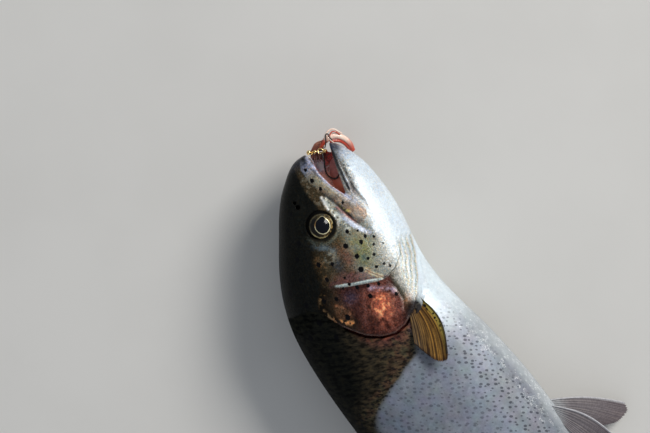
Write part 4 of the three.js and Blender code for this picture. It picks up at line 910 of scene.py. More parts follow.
def attributes(ob, x, z, w, deep=None, **more):
    col, silver, spot, pepper, on = paint(x, z, w, deep)
    a, b = speckling(x, z, w)
    if deep is not None:
        shut = 1 - S(-1.0, -2.0, deep)
        a, b = a * shut, b * shut
    g = girth(x, z, w)
    coat = np.stack([x + 700 * (w < 0), g, 0 * x], 1)
    paint_on(ob, col, silver=silver, spot=spot, pepper=pepper, headed=on, speck_a=a, speck_b=b, fish=np.stack([x, z, w], 1), coat=coat, **more)


# ---------------------------------------------------------------- skin
xs = np.concatenate([np.arange(-4, 118, 0.5), np.arange(118, 434, 2.0)])
zs = np.arange(-53, 54, 0.55)
ws = np.arange(-31, 31.01, 0.55)
F = body_field(xs, zs, ws)
co, quads = surface(F, xs, zs, ws)
del F
weight = np.where(co[:, 0] > 122, 1.0, 0.0)
weight = np.where((co[:, 0] <= 122) & (co[:, 2] < -1), 0.6, weight)
co, tris = thinned(co, quads, weight, 0.445)
world = laid(co[:, 0], co[:, 1], co[:, 2])
world[:, 2] = np.maximum(world[:, 2], 0.00004)
if not outward(world, tris):
    tris = tris[:, ::-1]
skin = new_mesh("skin", world, tris)
attributes(skin, co[:, 0], co[:, 1], co[:, 2], under(co[:, 0], co[:, 1], co[:, 2]))
skin.data.materials.append(fish_look("trout_skin", False))
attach(skin, "root")
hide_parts("head", "lower_jaw", "maxilla_right", "maxilla_left", "gill_cover_right", "gill_cover_left", "trunk_front", "trunk_rear", "tail_stalk")
print("skin", len(co), len(tris))

# ---------------------------------------------------------------- scales
rng = np.random.default_rng(11)
PITCH, ROW = 2.2, 1.88
LONG, HALF = 3.75, 1.28
cols = np.arange(84, 420, PITCH)
rows = np.arange(int(GMIN / ROW), int(GMAX / ROW) + 1)
cx, rg = np.meshgrid(cols, rows, indexing="ij")
cx = cx + (rows[None, :] % 2) * PITCH / 2
x0, g0 = cx.ravel(), rg.ravel() * ROW
keep = (g0 < g_top(x0) - 0.4) & (g0 > g_low(x0) + 0.4)
x0, g0 = x0[keep], g0[keep]
x0 = np.concatenate([x0, x0])
g0 = np.concatenate([g0, g0])
side = np.concatenate([np.ones(len(x0) // 2), -np.ones(len(x0) // 2)])
x0 = x0 + rng.normal(0, 0.07, len(x0))
g0 = g0 + rng.normal(0, 0.06, len(x0))
z0, w0 = on_body(x0, g0)
gap = to_shape(x0, z0, FRONT)
keep = (gap > 1.9 + 0.25 * np.maximum(z0 - 24, 0) + rng.random(len(x0)) * S(20, 26, z0) * 2.5) & (x0 < 416 - 0.02 * z0 ** 2)
# none over the roots of the fins, nor on the fleshy base of the breast fin
keep &= np.hypot((x0 - 110.5) / 7.6, (z0 + 21.8) / 5.6) > 1
keep &= ~((x0 > 205) & (x0 < 256) & (w0 < 1.6) & (z0 > 0))
keep &= ~((x0 > 320) & (x0 < 361) & (w0 < 1.4) & (z0 < 0))
keep &= ~((x0 > 356) & (x0 < 367) & (w0 < 1.8) & (z0 > 0))
keep &= np.hypot((x0 - 206) / 7, (w0 - 7.2) / 2.4) + 9 * (z0 > -30) > 1
x0, g0, z0, w0, side = (v[keep] for v in (x0, g0, z0, w0, side))
grow = 1 + 0.10 * S(150, 100, x0) * -1 + rng.normal(0, 0.035, len(x0))
NR = 10
th = np.linspace(0, 2 * np.pi, NR, endpoint=False)
ra = LONG * 0.5 * (1 - np.cos(th))
rb = HALF * np.sin(th) * (0.86 + 0.16 * (ra / LONG))
ra = ra * 0.99 + 0.06 * np.cos(3 * th)
lift = -0.010 + 0.085 * (ra / LONG)
rim = lift - 0.012 * (np.abs(rb) / HALF) ** 2
top_a, top_h = 0.60 * LONG, -0.010 + 0.085 * 0.60 + 0.010
A = np.concatenate([ra, [top_a], ra * 0.985 + 0.02])
B = np.concatenate([rb, [0.0], rb * 0.97])
H = np.concatenate([rim, [top_h], rim - 0.03])
n = len(x0)
turn = rng.normal(0, 0.05, n)
px = x0[:, None] + grow[:, None] * (A[None] * np.cos(turn)[:, None] - B[None] * np.sin(turn)[:, None])
pg = g0[:, None] + grow[:, None] * (A[None] * np.sin(turn)[:, None] + B[None] * np.cos(turn)[:, None])
# each scale tips a little on its own
flat = 1 - 0.55 * S(-4, 6, z0 - zb(x0)) * S(200, 150, x0)
H = H[None] - (0.07 * (1 - flat))[:, None] * (A[None] / LONG - 0.40) + rng.normal(0, 0.007, n)[:, None] * A[None] / LONG + rng.normal(0, 0.008, n)[:, None] * B[None] / HALF
pxf, pgf = px.ravel(), pg.ravel()
lim_t, lim_l = g_top(pxf), g_low(pxf)
over_t, over_l = np.maximum(pgf - lim_t, 0), np.maximum(lim_l - pgf, 0)
pgf = np.clip(pgf, lim_l, lim_t)
zz, ww = on_body(pxf, pgf)
e = 0.5
zx1, wx1 = on_body(pxf + e, pgf)
zx0, wx0 = on_body(pxf - e, pgf)
zg1, wg1 = on_body(pxf, np.minimum(pgf + e, lim_t))
zg0, wg0 = on_body(pxf, np.maximum(pgf - e, lim_l))
tx = np.stack([np.full(len(pxf), 2 * e), zx1 - zx0, wx1 - wx0], 1)
tg = np.stack([np.zeros(len(pxf)), zg1 - zg0, wg1 - wg0], 1)
N = np.cross(tg, tx)
N /= np.maximum(np.linalg.norm(N, axis=1), 1e-9)[:, None]
N *= np.sign((N[:, 2] * np.maximum(ww, 0.01) + N[:, 1] * (zz - widest_at(pxf))))[:, None]
hh = H.ravel() - INSET
q = np.stack([pxf, zz, ww], 1) + N * hh[:, None]
q[:, 2] -= (over_t + over_l)
q[:, 2] *= np.repeat(side, 2 * NR + 1)
m = 2 * NR + 1
pos = laid(q[:, 0], q[:, 1], q[:, 2])
pos[:, 2] = np.maximum(pos[:, 2], 0.00003)
edge = np.tile(np.concatenate([np.ones(NR), [0.0], np.ones(NR)]), n)
rnd = np.repeat(rng.random(n), m)
k = np.arange(NR)
k1 = (k + 1) % NR
top = np.stack([np.full(NR, NR), k, k1], 1)
rimq = np.stack([k, k + NR + 1, k1 + NR + 1, k1], 1)
bot = (NR + 1 + k)[::-1][None]
probe = pos[:m]
# each scale's winding is set later, scale by scale, against the direction away from the body's middle; here each
# scale's place on the OFBake unwrap
U0 = 0.02 + 0.96 * (x0 - 80) / 345
V0 = np.where(side > 0, 0.51 + 0.48 * (g0 - GMIN) / (GMAX - GMIN), 0.49 - 0.48 * (g0 - GMIN) / (GMAX - GMIN))
du = (A / LONG - 0.5) * 0.003
dv = B / (2 * HALF) * 0.003
fade0 = S(0, 10, to_shape(x0, z0, FRONT)) * (0.45 + 0.55 * S(4, 14, z0 - belly(x0)))
scale_look = fish_look("trout_scales", True)
pieces = [("scales_fore", x0 < 153), ("scales_breast", (x0 >= 153) & (x0 < 208)), ("scales_middle", (x0 >= 208) & (x0 < 272)), ("scales_rear", x0 >= 272)]
col_all = attributes
for name, pick in pieces:
    ids = np.nonzero(pick)[0]
    vsel = (ids[:, None] * m + np.arange(m)[None]).ravel()
    base = (np.arange(len(ids)) * m)[:, None, None]
    tt = (top[None] + base).reshape(-1, 3)
    rr = (rimq[None] + base).reshape(-1, 4)
    bb = (bot[None] + base).reshape(-1, NR)
    # mirrored scales have the other winding
    P3 = pos[vsel]
    a_, b_, c_ = P3[tt[:, 0]], P3[tt[:, 1]], P3[tt[:, 2]]
    nn = np.cross(b_ - a_, c_ - a_).reshape(len(ids), NR, 3).sum(1)
    mid = laid(x0[ids], z0[ids] * 0.3 + 0.7 * widest_at(x0[ids]), 0 * ids)
    flip = np.einsum("ij,ij->i", nn, P3.reshape(len(ids), m, 3).mean(1) - mid) < 0
    ft, fr, fb = np.repeat(flip, NR), np.repeat(flip, NR), flip
    tt[ft] = tt[ft][:, ::-1]
    rr[fr] = rr[fr][:, ::-1]
    bb[fb] = bb[fb][:, ::-1]
    ob = new_mesh(name, P3, [tt, rr, bb])
    me = ob.data
    sm = np.zeros(len(me.polygons), bool)
    sm[:len(tt)] = True
    me.polygons.foreach_set("use_smooth", sm)
    # every scale keeps crisp edges: only the spokes of its upper face are smooth
    ends = np.empty(len(me.edges) * 2, np.int32)
    me.edges.foreach_get("vertices", ends)
    ends = ends.reshape(-1, 2) % m
    crisp_edge = me.attributes.get("sharp_edge") or me.attributes.new("sharp_edge", "BOOLEAN", "EDGE")
    crisp_edge.data.foreach_set("value", (ends != NR).all(1))
    attributes(ob, q[vsel, 0], q[vsel, 1], q[vsel, 2], None, edge=edge[vsel], rnd=rnd[vsel], fade=np.repeat(fade0[ids], m))
    uv = me.uv_layers.new(name="OFBake")
    li = np.empty(len(me.loops), np.int32)
    me.loops.foreach_get("vertex_index", li)
    which, part = li // m, li % m
    data = np.stack([U0[ids][which] + du[part], V0[ids][which] + dv[part]], 1).astype(np.float32)
    uv.data.foreach_set("uv", data.ravel())
    me.materials.append(scale_look)
    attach(ob, "root")
    print(name, len(ids), "scales", sum(len(g_) * k_ for g_, k_ in ((tt, 1), (rr, 2), (bb, NR - 2))), "triangles")


# ---------------------------------------------------------------- eyes
def eye_look():
    L = Look("trout_eye")
    P = L.attr("eye", "Vector")
    sep = L.node("ShaderNodeSeparateXYZ", None, {0: P})
    ox, oz = sep.outputs[0], L.math("ADD", sep.outputs[1], 0.45)
    ex, ez = sep.outputs[0], L.math("ADD", sep.outputs[1], 1.1)
    n = L.noise(P, 0.8, 4, 0.62)
    fine = L.noise(P, 3.2, 3, 0.6)
    length = lambda a, b: L.node("ShaderNodeVectorMath", {"operation": "LENGTH"}, {0: L.node("ShaderNodeCombineXYZ", None, {0: a, 1: b}).outputs[0]}).outputs["Value"]
    r, ro = length(ex, L.math("MULTIPLY", ez, 1.10)), length(ox, oz)
    # the pupil is drawn out a little towards the snout
    along = L.math("ADD", L.math("MULTIPLY", ex, 0.96), L.math("MULTIPLY", ez, 0.28))
    across = L.math("SUBTRACT", L.math("MULTIPLY", ez, 0.96), L.math("MULTIPLY", ex, 0.28))
    nose = L.math("MULTIPLY", L.span(along, -1.5, -5.0), L.span(L.math("ABSOLUTE", across), 2.4, 0.2))
    pr = L.math("ADD", L.math("SUBTRACT", r, L.math("MULTIPLY", nose, 0.8)), L.math("MULTIPLY_ADD", n, 0.5, -0.25))
    rear = L.span(L.math("SUBTRACT", L.math("MULTIPLY", ox, 0.75), L.math("MULTIPLY", oz, 0.65)), -3.0, 4.0)
    col = L.mix(L.span(n, 0.40, 0.60), (0.016, 0.014, 0.009), (0.070, 0.050, 0.018))
    col = L.mix(L.math("MULTIPLY", L.span(fine, 0.50, 0.66), L.math("MULTIPLY", rear, 0.8)), col, (0.46, 0.27, 0.09))
    col = L.mix(L.math("MULTIPLY", L.span(n, 0.52, 0.62), L.math("MULTIPLY", rear, L.span(ro, 5.0, 5.9))), col, (0.62, 0.42, 0.16))
    ring = L.math("MULTIPLY", L.span(pr, 4.28, 4.42), L.span(pr, 4.96, 4.66))
    ring = L.math("MULTIPLY", ring, L.span(L.math("SUBTRACT", ex, L.math("MULTIPLY", ez, 0.15)), -4.6, -1.0, 0.30, 1.0))
    col = L.mix(ring, col, L.mix(L.math("MULTIPLY", L.span(ez, 1.0, 3.5), L.span(ex, 0.5, -2.0)), (1.0, 0.92, 0.58), (0.72, 0.40, 0.14)))
    rim = L.math("MULTIPLY", L.span(ro, 6.12, 6.42), L.span(ro, 6.95, 6.65))
    rim = L.math("MULTIPLY", rim, L.span(n, 0.34, 0.50, 0.45, 1.0))
    below = L.span(L.math("SUBTRACT", L.math("MULTIPLY", ox, 0.95), L.math("MULTIPLY", oz, 0.30)), -3.0, 2.4)
    col = L.mix(L.math("MULTIPLY", rim, L.span(below, 0.0, 1.0, 0.14, 1.0)), col, L.mix(below, (0.30, 0.33, 0.29), (0.74, 0.62, 0.30)))
    col = L.mix(L.math("MULTIPLY", L.span(ring, 0.7, 0.1), L.math("MULTIPLY", L.span(ro, 6.6, 5.6), L.math("MULTIPLY", L.span(ez, 0.5, 3.5), 0.92))), col, (0.010, 0.010, 0.010))
    col = L.mix(L.span(ro, 6.95, 7.2), col, (0.005, 0.005, 0.005))
    col = L.mix(L.span(pr, 4.45, 4.28), col, (0.003, 0.004, 0.007))
    metal = L.math("MULTIPLY", L.span(pr, 4.3, 4.6), L.span(ro, 7.1, 6.9, 0.0, 0.35))
    within = L.span(ro, 6.9, 6.2)
    L.set(Base_Color=col, Metallic=metal, Roughness=L.span(pr, 4.3, 4.7, 0.12, 0.34), Coat_Weight=L.math("MULTIPLY", within, 0.30), Coat_Roughness=0.05, Coat_IOR=1.36,
          Specular_IOR_Level=L.math("MULTIPLY", within, 0.15),
          Normal=L.bump(fine, 0.00006, 0.5))
    return L.mat


eye_mat = eye_look()
for name, sgn in (("eye_right", 1), ("eye_left", -1)):
    wc = sgn * (float(flank(EYE["x"], EYE["z"])) - EYE["sunk"])
    na, nb = 96, 64
    pol = np.linspace(0, np.pi, nb + 1)[1:-1]
    az = np.linspace(0, 2 * np.pi, na, endpoint=False)
    T, Z = np.meshgrid(pol, az, indexing="ij")
    unit = np.stack([np.sin(T) * np.cos(Z), np.sin(T) * np.sin(Z), np.cos(T) * sgn], -1).reshape(-1, 3)
    unit = np.concatenate([unit, [[0, 0, sgn], [0, 0, -sgn]]])
    rad = np.array([EYE["along"], EYE["across"], EYE["deep"]]) - 0.05
    off = unit * rad
    # the cornea swells over the pupil
    rr_ = np.hypot(off[:, 0], off[:, 1])
    off[:, 2] += sgn * (unit[:, 2] * sgn > 0) * 0.95 * np.exp(-((off[:, 0] ** 2 + (off[:, 1] + 0.9) ** 2) / 4.6 ** 2))
    i, j = np.meshgrid(np.arange(nb - 2), np.arange(na), indexing="ij")
    j1 = (j + 1) % na
    quads_ = np.stack([i * na + j, (i + 1) * na + j, (i + 1) * na + j1, i * na + j1], -1).reshape(-1, 4)
    ring0 = np.arange(na)
    capa = np.stack([np.full(na, len(unit) - 2), ring0, (ring0 + 1) % na], 1)
    capb = np.stack([np.full(na, len(unit) - 1), (nb - 2) * na + (ring0 + 1) % na, (nb - 2) * na + ring0], 1)
    pts = laid(EYE["x"] + off[:, 0], EYE["z"] + off[:, 1], wc + off[:, 2])
    t3 = np.concatenate([quads_[:, [0, 1, 2]], quads_[:, [0, 2, 3]], capa, capb])
    if not outward(pts - pts.mean(0), t3):
        quads_, capa, capb = quads_[:, ::-1], capa[:, ::-1], capb[:, ::-1]
    ob = new_mesh(name + "_ball", pts, [quads_, capa, capb])
    paint_on(ob, np.full((len(pts), 3), 0.1), eye=off)
    ob.data.materials.append(eye_mat)
    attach(ob, "root")
    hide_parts(name)


# ---------------------------------------------------------------- fins
def edge_of(fn):
    return lambda x: fn(x)


def fin_mesh(name, node, surf, nu, nv, rays, mat, colour, lead=0.0, ridge=0.26, fray=0.02, deep=0.45):
    """surf(u, v) gives x, z, w and the thickness; rays run along v and branch towards the margin."""
    u, v = np.meshgrid(np.linspace(0, 1, nu), np.linspace(0, 1, nv), indexing="ij")
    uneven = u + (0.016 * np.sin(9 * u + 1) + 0.010 * np.sin(23 * u + 2)) * np.sin(np.pi * u)
    beat = np.cos(2 * np.pi * rays * uneven)
    twig = np.cos(4 * np.pi * rays * uneven)
    fork = S(0.45, 0.8, v)
    ray = 0.5 - 0.5 * (beat * (1 - fork) + twig * fork)
    vv = v * (1 - fray * (1 - ray) * S(0.7, 1, v))
    x, z, w, t = surf(u, vv)
    c = laid(x, z, w)
    gu = np.gradient(c, axis=0)
    gv = np.gradient(c, axis=1)
    nrm = np.cross(gu, gv)
    nrm /= np.maximum(np.linalg.norm(nrm, axis=2), 1e-12)[..., None]
    taper = S(0, 0.012, u) * S(1, 0.988, u) * S(1.0, 0.985, v)
    half = (0.5 * t * (1 - deep * (1 - ray)) * (1 + lead * np.exp(-(u / 0.05) ** 2)) + ridge * 0.2 * ray * (1 - 0.6 * v)) * (0.25 + 0.75 * taper)
    wob = 0.10 * np.sin(7 * u + 5 * v) * v
    a = (c + nrm * ((half + wob) * MM)[..., None]).reshape(-1, 3)
    b = (c - nrm * ((half - wob) * MM)[..., None]).reshape(-1, 3)
    pts = np.concatenate([a, b])
    pts[:, 2] = np.maximum(pts[:, 2], 0.00003)
    idx = np.arange(nu * nv).reshape(nu, nv)
    q1 = np.stack([idx[:-1, :-1], idx[1:, :-1], idx[1:, 1:], idx[:-1, 1:]], -1).reshape(-1, 4)
    q2 = q1[:, ::-1] + nu * nv
    rimloop = np.concatenate([idx[:, 0], idx[-1, 1:], idx[-2::-1, -1], idx[0, -2:0:-1]])
    nx = np.roll(rimloop, -1)
    q3 = np.stack([nx, rimloop, rimloop + nu * nv, nx + nu * nv], 1)
    faces = np.concatenate([q1, q2, q3])
    t3 = np.concatenate([faces[:, [0, 1, 2]], faces[:, [0, 2, 3]]])
    if not outward(pts - pts.mean(0), t3):
        faces = faces[:, ::-1]
    ob = new_mesh(name, pts, faces)
    col = colour(u.ravel(), v.ravel(), x.ravel(), z.ravel(), ray.ravel())
    two = lambda q: np.concatenate([q, q])
    paint_on(ob, two(col), ray=two(ray.ravel()), fish=two(np.stack([x.ravel(), z.ravel(), w.ravel()], 1)), fin_span=two(np.stack([u.ravel(), v.ravel(), 0 * u.ravel()], 1)))
    ob.data.materials.append(mat)
    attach(ob, "root")
    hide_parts(node)
    return ob


def fin_look(name, spots=0.0, size=0.17, dark=(0.02, 0.017, 0.012), rayed=0.45, ray_tint=(0.35, 0.30, 0.22), streaked=0.45):
    L = Look(name)
    P = L.attr("fish", "Vector")
    uv = L.attr("fin_span", "Vector")
    base = L.attr("paint", "Color")
    ray = L.attr("ray")
    n = L.noise(P, 0.6, 3)
    fine = L.noise(L.mapping(uv, (60, 8, 1)), 1.0, 3, 0.6)
    streak = L.noise(L.mapping(uv, (21, 0.9, 1), 0.0, (2.7, 0.4, 0)), 1.0, 3, 0.66)
    col = L.mix(L.math("MULTIPLY", L.span(ray, 0.35, 0.95), rayed), base, L.mix(1.0, base, ray_tint, "MULTIPLY"))
    col = L.mix(L.span(fine, 0.35, 0.75, 0.0, 0.4), col, L.mix(1.0, col, (1.7, 1.65, 1.5), "MULTIPLY"))
    col = L.mix(L.span(n, 0.35, 0.7, 0.0, 0.35), col, L.mix(1.0, col, (0.5, 0.5, 0.5), "MULTIPLY"))
    # long streaks of lighter and darker rays
    col = L.mix(L.span(streak, 0.51, 0.42, 0.0, streaked), col, L.mix(1.0, col, (0.24, 0.19, 0.18), "MULTIPLY"))
    col = L.mix(L.span(streak, 0.53, 0.61, 0.0, streaked), col, L.mix(1.0, col, (2.3, 2.2, 1.7), "MULTIPLY"))
    # the rays are jointed across
    sep = L.node("ShaderNodeSeparateXYZ", None, {0: uv})
    joint = L.math("SINE", L.math("MULTIPLY", sep.outputs[1], 190.0))
    joints = L.math("MULTIPLY", L.span(joint, 0.6, 1.0), L.span(sep.outputs[1], 0.25, 0.5, 0.0, 0.35))
    col = L.mix(joints, col, L.mix(1.0, col, (0.5, 0.5, 0.5), "MULTIPLY"))
    if spots:
        v = L.voronoi(P, spots, randomness=0.75)
        s = L.node("ShaderNodeSeparateColor", None, {0: v.outputs["Color"]}).outputs[0]
        d = L.math("SUBTRACT", L.math("MULTIPLY_ADD", s, 0.22, size), v.outputs["Distance"])
        d = L.math("ADD", d, L.math("MULTIPLY_ADD", n, 0.14, -0.07))
        keepout = L.math("MULTIPLY", L.span(d, -0.02, 0.05), L.attr("spotty"))
        col = L.mix(keepout, col, dark)
    h = L.math("ADD", L.math("MULTIPLY", ray, 0.5), L.math("ADD", L.math("MULTIPLY", fine, 0.35), L.math("MULTIPLY", streak, 1.2)))
    L.set(Base_Color=col, Roughness=L.span(fine, 0.2, 0.8, 0.50, 0.68), Normal=L.bump(h, 0.00012, 0.5), Coat_Weight=0.02, Coat_Roughness=0.3,
          Subsurface_Weight=0.0, Specular_IOR_Level=0.14)
    return L.mat


def mixn(a, b, t):
    return a + (b - a) * t


def median(spec, edge, sign):
    lens, leans = table(spec["lengths"]), spec["lean"]

    def surf(u, v):
        x0_ = mixn(spec["from"], spec["to"], u)
        a = np.radians(mixn(leans[0], leans[1], u))
        l_ = lens(u) * v
        curl = 1 - 0.16 * v
        x = x0_ + l_ * np.cos(a * curl)
        z = edge(x0_) - sign * 4 + sign * (l_ + 4 * (1 - v)) * np.sin(a * curl) + sign * 4 * v
        return x, z, -spec["droop"] * l_ * v, mixn(2.0, 0.55, np.minimum(1, 1.4 * v))
    return surf


def paired(spec, sign):
    (b0, b1), tips = spec["base"], np.array(spec["tips"], float)
    tx, tz = table(tips[:, [0, 1]]), table(tips[:, [0, 2]])

    def surf(u, v):
        bx, bz = mixn(b0[0], b1[0], u), mixn(b0[1], b1[1], u)
        ex, ez = tx(u), tz(u)
        bb = spec["bow"] * np.sin(np.pi * v) * (1 - u)
        l_ = np.hypot(ex - bx, ez - bz)
        x = mixn(bx, ex, v) + bb * (ez - bz) / l_
        z = mixn(bz, ez, v) - bb * (ex - bx) / l_
        out = mixn(spec["root"][0], spec["root"][1], u) + l_ * v * math.sin(math.radians(spec["lift"] if sign > 0 else spec["fold"])) - spec["cup"] * np.sin(np.pi * u) * v
        return x, z, sign * out, mixn(mixn(2.2, 1.2, u), 0.55, np.minimum(1, 1.2 * v))
    return surf


def adipose_surf(u, v):
    a = mixn(358, 368, u)
    return a + v * mixn(15, 9, u), back(a) - 2 + v * mixn(12, 7, u), 0 * u, mixn(2.4, 0.9, v)


def tail_surf(u, v):
    s = 1 - 2 * u
    a = np.radians(28 * s)
    l_ = (mixn(21, 54, np.abs(s) ** 1.6) + 12) * v
    return 414 + 3 * (1 - s * s) + l_ * np.cos(a), 20 * s + l_ * np.sin(a), 0 * u, mixn(3.0, 0.6, np.minimum(1, 1.5 * v))


DORSAL = dict(**{"from": 206, "to": 257}, lengths=[[0, 22], [0.12, 40], [0.25, 49], [0.5, 42], [0.75, 33], [1, 25]], lean=[62, 34], droop=0.1)
ANAL = dict(**{"from": 321, "to": 362}, lengths=[[0, 24], [0.15, 40], [0.3, 43], [0.6, 31], [1, 17]], lean=[60, 30], droop=0.06)
PECTORAL = dict(base=[[103.5, -26.3], [107.5, -18.5]], tips=[[0, 141, -21], [0.15, 144, -18.5], [0.4, 141.5, -14.3], [0.7, 133.5, -11.5], [1, 125.5, -10]], bow=6, root=[20.5, 24.5], lift=22, fold=2, cup=2)
PECTORAL_LEFT = dict(base=[[104, -27], [108, -19]], tips=[[0, 141, -38], [0.2, 146, -34.5], [0.45, 144, -29], [0.75, 136, -24], [1, 128, -20]], bow=4, root=[20.5, 24], lift=0, fold=3.5, cup=-2)
PELVIC = dict(base=[[202, -45.5], [211.5, -44.5]], tips=[[0, 239, -63.5], [0.2, 245, -61], [0.5, 246, -54.5], [0.8, 242, -49.5], [1, 237, -47]], bow=4.2, root=[6.5, 9], lift=14, fold=21, cup=1)
PELVIC_LEFT = dict(base=[[200.5, -46.5], [210, -46]], tips=[[0, 232, -79.5], [0.2, 237, -77.5], [0.5, 238, -70], [0.8, 235, -63], [1, 231, -57]], bow=2.5, root=[6, 8.5], lift=12, fold=21, cup=1)


def colours(base, outer, lead=None, root=None, under_=None):
    def f(u, v, x, z, ray):
        c = mixn(np.asarray(base)[None], np.asarray(outer)[None], S(0.3, 1.0, v)[:, None])
        if root is not None:
            c = lay(c, root, S(0.28, 0.05, v))
        if lead is not None:
            c = lay(c, lead, 0.9 * S(0.07, 0.02, u))
        if under_ is not None:
            c = lay(c, under_, S(0.6, 1.0, u) * 0.7)
        return c
    return f


def breast_colours(u, v, x, z, ray):
    c = mixn(np.asarray((0.200, 0.104, 0.023))[None], np.asarray((0.150, 0.080, 0.022))[None], S(0.25, 1.0, v)[:, None])
    c = lay(c, (0.255, 0.205, 0.050), 0.9 * S(0.24, 0.10, u) * S(1.0, 0.6, v))
    c = lay(c, (0.070, 0.045, 0.022), 0.8 * S(0.45, 0.95, u))
    c = lay(c, (0.030, 0.016, 0.011), 0.92 * S(0.25, 0.10, v + 0.05 * np.sin(31 * u)) * S(0.02, 0.2, u))
    c = lay(c, (0.045, 0.020, 0.012), 0.7 * S(0.93, 1.0, v))
    return lay(c, (0.016, 0.013, 0.010), 0.95 * S(0.040, 0.018, u))


yellow = fin_look("breast_fin", rayed=0.30, ray_tint=(0.22, 0.17, 0.12), spots=0.40, size=0.20, dark=(0.006, 0.005, 0.004), streaked=1.0)
grey = fin_look("belly_fin", rayed=0.16, ray_tint=(0.55, 0.52, 0.52), streaked=0.14)
olive = fin_look("back_fin", rayed=0.45, ray_tint=(0.42, 0.40, 0.32), spots=0.21, size=0.17, dark=(0.008, 0.007, 0.006))
made = {}
made["dorsal"] = fin_mesh("dorsal_fin_rays", "dorsal_fin", median(DORSAL, back, 1), 157, 61, 13, olive, colours((0.085, 0.072, 0.036), (0.115, 0.098, 0.055), root=(0.035, 0.030, 0.018)))
made["anal"] = fin_mesh("anal_fin_rays", "anal_fin", median(ANAL, belly, -1), 133, 55, 11, grey, colours((0.30, 0.26, 0.20), (0.36, 0.30, 0.26), lead=(0.75, 0.73, 0.70)))
made["tail"] = fin_mesh("caudal_fin_rays", "caudal_fin", tail_surf, 209, 65, 19, olive, colours((0.090, 0.078, 0.044), (0.125, 0.108, 0.066), root=(0.075, 0.070, 0.055)))
made["adipose"] = fin_mesh("adipose_fin_flesh", "adipose_fin", adipose_surf, 49, 41, 1, olive, colours((0.06, 0.055, 0.03), (0.05, 0.045, 0.025), lead=(0.008, 0.008, 0.007)), ridge=0)
made["pec_r"] = fin_mesh("pectoral_fin_right_rays", "pectoral_fin_right", paired(PECTORAL, 1), 157, 65, 13, yellow, breast_colours, lead=0.9, ridge=0.05, deep=0.05)
made["pec_l"] = fin_mesh("pectoral_fin_left_rays", "pectoral_fin_left", paired(PECTORAL_LEFT, -1), 157, 65, 13, yellow, breast_colours, lead=0.9, ridge=0.05, deep=0.05)
made["pel_r"] = fin_mesh("pelvic_fin_right_rays", "pelvic_fin_right", paired(PELVIC, 1), 121, 61, 10, grey, colours((0.20, 0.180, 0.195), (0.155, 0.130, 0.142), lead=(0.50, 0.50, 0.54), root=(0.34, 0.35, 0.37)), lead=0.5, ridge=0.12, deep=0.16)
made["pel_l"] = fin_mesh("pelvic_fin_left_rays", "pelvic_fin_left", paired(PELVIC_LEFT, -1), 121, 61, 10, grey, colours((0.20, 0.180, 0.195), (0.155, 0.130, 0.142), lead=(0.50, 0.50, 0.54), root=(0.34, 0.35, 0.37)), lead=0.5, ridge=0.12, deep=0.16)
for key, ob in made.items():
    me = ob.data
    uvv = np.empty(len(me.vertices) * 3, np.float32)
    me.attributes["fin_span"].data.foreach_get("vector", uvv)
    uvv = uvv.reshape(-1, 3)
    if key.startswith("pec"):
        s = S(0.26, 0.16, uvv[:, 0]) * S(0.02, 0.06, uvv[:, 0]) * S(0.0, 0.06, uvv[:, 1]) * S(0.75, 0.45, uvv[:, 1])
    elif key == "adipose":
        s = S(0.2, 0.5, uvv[:, 1]) * 0.9
    else:
        s = S(0.05, 0.25, uvv[:, 1]) * 0.9
    at = me.attributes.new("spotty", "FLOAT", "POINT")
    at.data.foreach_set("value", s.astype(np.float32))


# ---------------------------------------------------------------- tubes, beads and cones
def spline(points, n):
    p = np.asarray(points, float)
    p = np.concatenate([[2 * p[0] - p[1]], p, [2 * p[-1] - p[-2]]])
    t = np.linspace(0, len(p) - 3 - 1e-9, n)
    i = t.astype(int)
    f = (t - i)[:, None]
    a, b, c, d = p[i], p[i + 1], p[i + 2], p[i + 3]
    return 0.5 * (2 * b + (c - a) * f + (2 * a - 5 * b + 4 * c - d) * f ** 2 + (3 * b - a - 3 * c + d) * f ** 3)


def sweep(path, radius, sides=12, flat=1.0, wave=None):
    """A closed tube along a path in fish mm; radius is a number or one per point; flat squashes its section."""
    path = np.asarray(path, float)
    n = len(path)
    rad = np.broadcast_to(radius, (n,)).astype(float)
    T = np.gradient(path, axis=0)
    T /= np.linalg.norm(T, axis=1)[:, None]
    ref = np.array([0.0, 0.0, 1.0])
    U = np.cross(T, ref)
    small = np.linalg.norm(U, axis=1) < 1e-3
    U[small] = np.cross(T[small], [0, 1, 0])
    U /= np.linalg.norm(U, axis=1)[:, None]
    V = np.cross(T, U)
    a = np.linspace(0, 2 * np.pi, sides, endpoint=False)
    r = rad[:, None] * (1 if wave is None else wave(np.arange(n)[:, None] / (n - 1), a[None]))
    ring = path[:, None] + r[..., None] * (np.cos(a)[None, :, None] * U[:, None] * flat + np.sin(a)[None, :, None] * V[:, None])
    verts = np.concatenate([ring.reshape(-1, 3), path[:1], path[-1:]])
    i, j = np.meshgrid(np.arange(n - 1), np.arange(sides), indexing="ij")
    j1 = (j + 1) % sides
    q = np.stack([i * sides + j, i * sides + j1, (i + 1) * sides + j1, (i + 1) * sides + j], -1).reshape(-1, 4)
    k = np.arange(sides)
    c0 = np.stack([np.full(sides, n * sides), (k + 1) % sides, k], 1)
    c1 = np.stack([np.full(sides, n * sides + 1), (n - 1) * sides + k, (n - 1) * sides + (k + 1) % sides], 1)
    return verts, q, np.concatenate([c0, c1])


